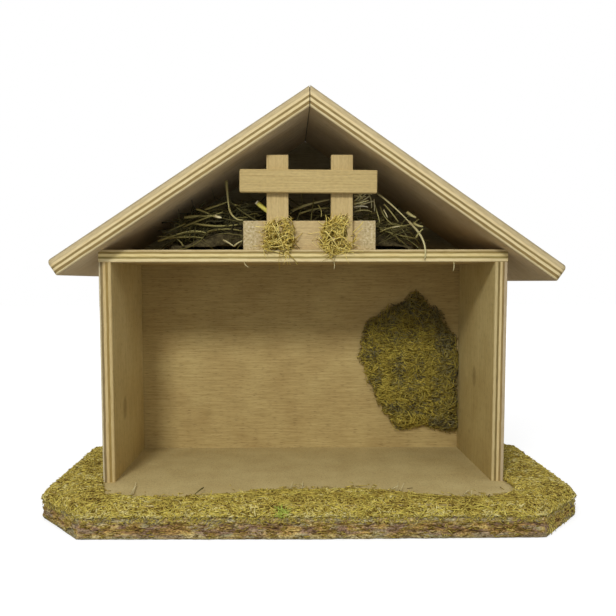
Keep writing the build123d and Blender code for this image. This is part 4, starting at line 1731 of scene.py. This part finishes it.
        # Points of the frame along the stem in pixels, depths of its ends in mm, half width in mm, tone
        seen = (
            (((226.4, 180.5), (227.3, 192), (229.2, 209)), (-9.3, -9.3), 1.2, 0.6),
            (((229.2, 208), (231.8, 214.5), (236, 218.6), (243, 220)), (-9.4, -9.8), 1, 0.6),
            (((377, 193), (386, 200), (395, 208), (403, 215.5), (410.5, 223.2)), (-9, -16), 0.9, 0.7),
            (((407, 212), (411, 215), (416, 217.5)), (-15, -17), 1.6, 0.64),
            (((414, 223), (418, 225.5), (423, 226.5)), (-18, -20), 1.3, 0.6),
            (((416, 238), (419, 233), (423, 229)), (-19, -21), 0.9, 0.55),
            (((354, 197), (362, 193.5), (372, 194)), (-8, -10), 0.9, 0.8),
            (((354, 206), (361, 198), (367, 193)), (-8, -10), 0.8, 0.82),
            (((355, 209), (364, 204), (374, 201)), (-8, -10), 0.9, 0.78),
            (((363, 193), (361, 201), (360, 210)), (-8, -10), 0.7, 0.7),
            (((368, 193), (371, 200), (371.5, 208)), (-8, -10), 0.7, 0.74),
            (((353.5, 201), (360, 204), (366, 203)), (-8, -10), 0.9, 0.84),
            (((357, 212), (366, 210), (372, 212)), (-8, -10), 0.7, 0.6),
            (((373.5, 201), (377, 212), (380, 223)), (-9, -10), 0.7, 0.55),
            (((380, 232), (393, 227), (407, 226)), (-9, -10), 0.6, 0.5),
            (((158, 241), (178, 234), (196, 231), (206, 233)), (-6, -8), 1, 0.5),
            (((168, 238.5), (186, 237), (203, 238)), (-6, -8), 0.8, 0.42),
            (((184, 217.5), (202, 216), (220, 216.3)), (-7, -9), 1.2, 0.48),
            (((205, 209.5), (216, 206), (227, 202)), (-7, -9), 1, 0.45),
            (((183, 227), (203, 219), (223, 212)), (-7, -9), 0.9, 0.4),
            (((193, 223), (216, 226), (241, 224)), (-7, -9), 1, 0.42),
            (((196, 209), (205, 212), (214, 217)), (-7, -9), 1, 0.45),
            (((207, 232), (224, 229), (242, 231)), (-7, -9), 0.9, 0.4),
            (((223, 240), (229, 243), (234, 246.5)), (-9, -10), 0.8, 0.76),
            (((234, 246.5), (238, 243), (242.5, 240.5)), (-9.5, -10), 0.8, 0.72),
            (((215, 215.5), (218, 217), (221.5, 217.5)), (-9.5, -9.8), 1.5, 0.8),
            (((291, 211), (310, 204), (329.5, 199.5)), (-7, -9), 1.2, 0.66),
            (((289.5, 214), (300, 207), (312, 203)), (-7, -9), 0.8, 0.6),
            (((299, 214), (315, 209), (330, 208)), (-7, -9), 0.9, 0.56),
            (((318, 205), (321, 210), (321, 217)), (-9, -9.5), 0.5, 0.85),
        )
        return [
            Stem(self.sight.curve_through(points, depths), half, tone) for points, depths, half, tone in seen
        ]

    def tangled_stems(self) -> list[Stem]:
        """Places the pale tangle beside the right post; its palest tones are painted light.

        Returns:
            The stems.
        """
        # Control points in pixels of the frame, depth in mm, half width in mm, tone
        # Tones near 0.96 are painted light: these stems lie in the rail's shadow and are given near-white tones
        # to look lit.
        seen = (
            (((353.5, 203.7), (358.5, 203), (363, 201.8), (368.5, 200.4)), -10.5, 1, 0.96),
            (((353.5, 207), (358, 205.6), (363, 205.7), (368, 207)), -10.2, 0.9, 0.97),
            (((354.5, 200.8), (357.5, 198.5), (360, 196), (362, 193.4)), -9.8, 0.8, 0.96),
            (((356, 203.2), (361, 201.2), (366, 199), (369.4, 196)), -9.4, 0.9, 0.8),
            (((362.5, 199), (361, 197), (359.5, 195), (358.5, 193.2)), -10, 0.7, 0.96),
            (((354, 194.6), (358, 196.6), (362, 197.3), (366, 196.6)), -10.4, 0.8, 0.82),
            (((353.8, 212), (358, 210), (363, 209.5), (369, 210.8)), -9.6, 0.8, 0.62),
            (((374, 199), (374.4, 203), (374.6, 207), (374.3, 211.5)), -10, 0.6, 0.8),
            (((383.6, 209.5), (385, 212), (386.3, 214.6), (387.6, 217.6)), -10, 0.6, 0.82),
            (((392, 227.6), (394.6, 227), (397.4, 226.6), (400.2, 226.2)), -10, 0.5, 0.8),
            (((384, 204), (389, 209.5), (394, 215.5), (398.5, 222)), -9.2, 0.8, 0.5),
            (((380, 206), (382, 213), (386, 220), (392, 224)), -9, 0.7, 0.45),
        )
        stems = []
        for points, depth, half, tone in seen:
            depths = (depth, depth - self.tangle_forward_mm)
            stems.append(Stem(self.sight.places(points, Level.DEPTH, depths), half, tone))
        return stems

    def floor_straws(self) -> list[Stem]:
        """Places the straws that stick out of the moss over the room's floor.

        Returns:
            The straws.
        """
        # Control points in pixels of the frame
        seen = (
            ((133, 494), (134, 490), (135, 486), (136, 482)),
            ((131, 495), (132, 491), (134, 488), (137, 485)),
            ((290, 490), (291, 487), (292, 484), (292.5, 481.5)),
            ((302, 489), (302.5, 486), (303, 483.5), (303, 481)),
            ((396, 491.5), (397, 488), (398, 485), (398.5, 482)),
            ((392, 489.5), (394, 487.8), (396, 486.6), (399, 486)),
            ((401, 491), (402, 487.5), (403, 485), (404, 483)),
            ((464, 496), (465, 493), (467, 491), (470, 489.5)),
            ((471, 496), (471.5, 493), (472, 490.5), (472, 488.5)),
        )
        straws = []
        for index, points in enumerate(seen):
            curve = self.sight.places(points, Level.HEIGHT, self.straw_heights_mm)
            straws.append(Stem(curve, self.straw_half_mm, self.straw_tones[index % len(self.straw_tones)]))
        return straws

    def placed_stems(self) -> list[Stem]:
        """Places the bent stem's lower half, three wisps under the loft floor and the twig on the moss.

        Returns:
            The stems.
        """
        # Control points in mm, half width in mm, tone
        placed = (
            (((74.6, -15.5, 215.1), (82.3, -18, 207.4), (86.8, -26.5, 198.2), (84.5, -25.6, 186.3)), 1.1, 0.72),
            (((-47.6, -24.9, 185), (-47.2, -25.2, 183.5), (-46, -25.3, 182), (-43.9, -25, 181)), 0.35, 0.78),
            (((17.9, -24.9, 185.5), (18.6, -25.2, 184), (18.8, -25.4, 182), (18.2, -25, 179.8)), 0.35, 0.78),
            (
                ((105.8, -24.9, 185.5), (106.4, -25.2, 183), (106.4, -25.4, 180.5), (105.5, -25, 178.2)),
                0.4, 0.82,
            ),
            (((-76.5, -44, 23), (-77.2, -50, 24.4), (-78.4, -57, 25), (-79.8, -63.5, 25)), 0.7, 0.3),
        )
        return [Stem(np.array(points) * MM, half, tone) for points, half, tone in placed]

    def front_stems(self, finish: bpy.types.Material) -> None:
        """Grows the single stems, leaves and wisps that show before the heap.

        Args:
            finish: The blades' finish.
        """
        stems = self.seen_stems() + self.tangled_stems() + self.floor_straws() + self.placed_stems()
        lines = np.array([stem.curve for stem in stems])
        widths = np.array([stem.half_mm for stem in stems]) * MM
        tones = np.array([stem.tone for stem in stems])
        shape = StrandShape(sides=4, cuts=9, tip=0.45, flat=0.45)
        facing = np.tile(np.array((0.1, -1.0, 0.2)), (len(stems), 1))
        settle(shape.grow("hay_front_stems", lines, widths, tones, unit(facing)), finish, "hay")
        self.straw_stub(finish)

    def straw_stub(self, finish: bpy.types.Material) -> None:
        """Places the short yellow straw beside the left post, with its pale cut end.

        Args:
            finish: The blades' finish.
        """
        root, cut = np.array(self.stub_root_mm) * MM, np.array(self.stub_cut_mm) * MM
        end = cut + self.stub_end * unit(cut - root)
        thirds = np.linspace(0, 1, 4)[:, None]
        lines = np.array([a + (b - a) * thirds for a, b in ((root, cut), (cut, end))])
        widths, tones = np.array(self.stub_halves_mm) * MM, np.array(self.stub_tones)
        facing = np.tile(np.array((0, -1.0, 0.3)), (len(lines), 1))
        round_straw = StrandShape(sides=8, cuts=3, tip=0.96, flat=1.0)
        settle(round_straw.grow("hay_straw_stub", lines, widths, tones, facing), finish, "hay")


@dataclass
class Studio:
    """The plain stage: a pale floor, a soft key light from the upper front, an even fill and the camera.

    A weak lamp on the right opens the left wall's shadow, and a broad one above lights the tops.
    """

    key_elevation: float = math.radians(34)
    key_left: float = math.radians(19)
    key_distance: float = 1.3
    key_wide: float = 0.21
    key_power: float = 8.8
    side_elevation: float = math.radians(28)
    side_right: float = math.radians(42)
    side_power: float = 1.1
    top_height: float = 1.3
    top_wide: float = 1.0
    top_power: float = 4.2
    fill: float = 0.49
    floor_size: float = 8.0
    floor_grey: str = "#A6A6A6"
    floor_glow: float = 0.7
    aim: tuple[float, float, float] = (0.0, 0.0, 0.14)
    glow_from: float = 0.3
    glow_to: float = 1.2
    clip_start: float = 10 * MM
    sight: Sight = Sight()

    def seen_directly(self, tree: bpy.types.NodeTree) -> bpy.types.NodeSocket:
        """Adds the nodes that tell what is seen, straight or in a gloss, from what lights the object.

        Args:
            tree: The node tree of the world or the floor.

        Returns:
            1 for what is seen by the camera, in a gloss or through a clear surface, and 0 for the rest.
        """
        path = add_node(tree, "LightPath")
        mirrored = add_node(tree, "Math", {
            0: path["Is Camera Ray"], 1: path["Is Glossy Ray"],
        }, operation="MAXIMUM")[0]
        return add_node(tree, "Math", {0: mirrored, 1: path["Is Transmission Ray"]}, operation="MAXIMUM")[0]

    def way_to(self, right: float, elevation: float) -> Vector:
        """Gives the way from the object to a lamp that stands so far to the right and so high up."""
        level = math.cos(elevation)
        return Vector((math.sin(right) * level, -math.cos(right) * level, math.sin(elevation)))

    def build(self) -> None:
        """Sets the light, the floor, the background and the camera."""
        scene = bpy.context.scene
        scene.view_settings.view_transform = "Standard"
        world = bpy.data.worlds.new("Studio_white")
        scene.world = world
        world.use_nodes = True
        tree = world.node_tree
        tree.nodes.clear()
        strength = add_node(tree, "MapRange", {
            "Value": self.seen_directly(tree), "To Min": self.fill, "To Max": 1.0,
        })[0]
        light = add_node(tree, "Background", {"Strength": strength, "Color": hex_colour("#FFFFFF")})[0]
        add_node(tree, "OutputWorld", {"Surface": light})

        clear_selection()
        bpy.ops.mesh.primitive_plane_add(size=self.floor_size, location=(0, 0, 0))
        floor = bpy.context.object
        floor.name = "studio_floor"
        floor.data.materials.append(self.floor_finish())

        key = self.way_to(-self.key_left, self.key_elevation)
        side = self.way_to(self.side_right, self.side_elevation)
        for way, distance, wide, power in (
            (key, self.key_distance, self.key_wide, self.key_power),
            (side, self.key_distance, self.key_wide, self.side_power),
            (Vector((0, 0, 1)), self.top_height - self.aim[2], self.top_wide, self.top_power),
        ):
            place, turn = Vector(self.aim) + way * distance, way.to_track_quat("Z", "Y").to_euler()
            clear_selection()
            bpy.ops.object.light_add(type="AREA", location=place, rotation=turn)
            lamp = bpy.context.object.data
            lamp.shape = "SQUARE"
            lamp.size = wide
            lamp.energy = power

        clear_selection()
        bpy.ops.object.camera_add(location=self.sight.place, rotation=self.sight.tilt)
        camera = bpy.context.object
        camera.data.sensor_width = self.sight.sensor
        camera.data.lens = self.sight.lens
        camera.data.shift_x, camera.data.shift_y = self.sight.shift
        camera.data.clip_start = self.clip_start
        scene.camera = camera

    def floor_finish(self) -> bpy.types.Material:
        """Makes the floor: pale, white to the eye where it is lit, and darker in the object's shadow.

        Returns:
            The finished material.
        """
        material = bpy.data.materials.new("Studio_floor_pale")
        material.use_nodes = True
        tree = material.node_tree
        tree.nodes.clear()
        matt = add_node(tree, "BsdfDiffuse", {"Color": hex_colour(self.floor_grey)})[0]
        away = add_node(tree, "VectorMath", {0: add_node(tree, "TexCoord")["Object"]}, operation="LENGTH")[1]
        level = add_node(tree, "MapRange", {
            "Value": away, "From Min": self.glow_from, "From Max": self.glow_to,
            "To Min": self.floor_glow, "To Max": 1.0,
        })[0]
        glow = add_node(tree, "Math", {0: self.seen_directly(tree), 1: level}, operation="MULTIPLY")[0]
        shine = add_node(tree, "Emission", {"Strength": glow, "Color": hex_colour("#FFFFFF")})[0]
        add_node(tree, "OutputMaterial", {"Surface": add_node(tree, "AddShader", {0: matt, 1: shine})[0]})
        return material


def main() -> None:
    """Builds the stage, dresses the boards and grows the bark, the moss and the hay."""
    logging.basicConfig(level=logging.INFO, format="%(name)s: %(message)s")
    Studio().build()
    House().dress()
    RidgeGlue().build()
    Fence().dress()
    stems = MossCover().build()
    BarkEdging().build(PeeledBark("Bark_peeled_strip", 0.9, 0.4 * MM).material(), stems)
    LoftHay().build()
    clear_selection()


if __name__ == "__main__":
    main()
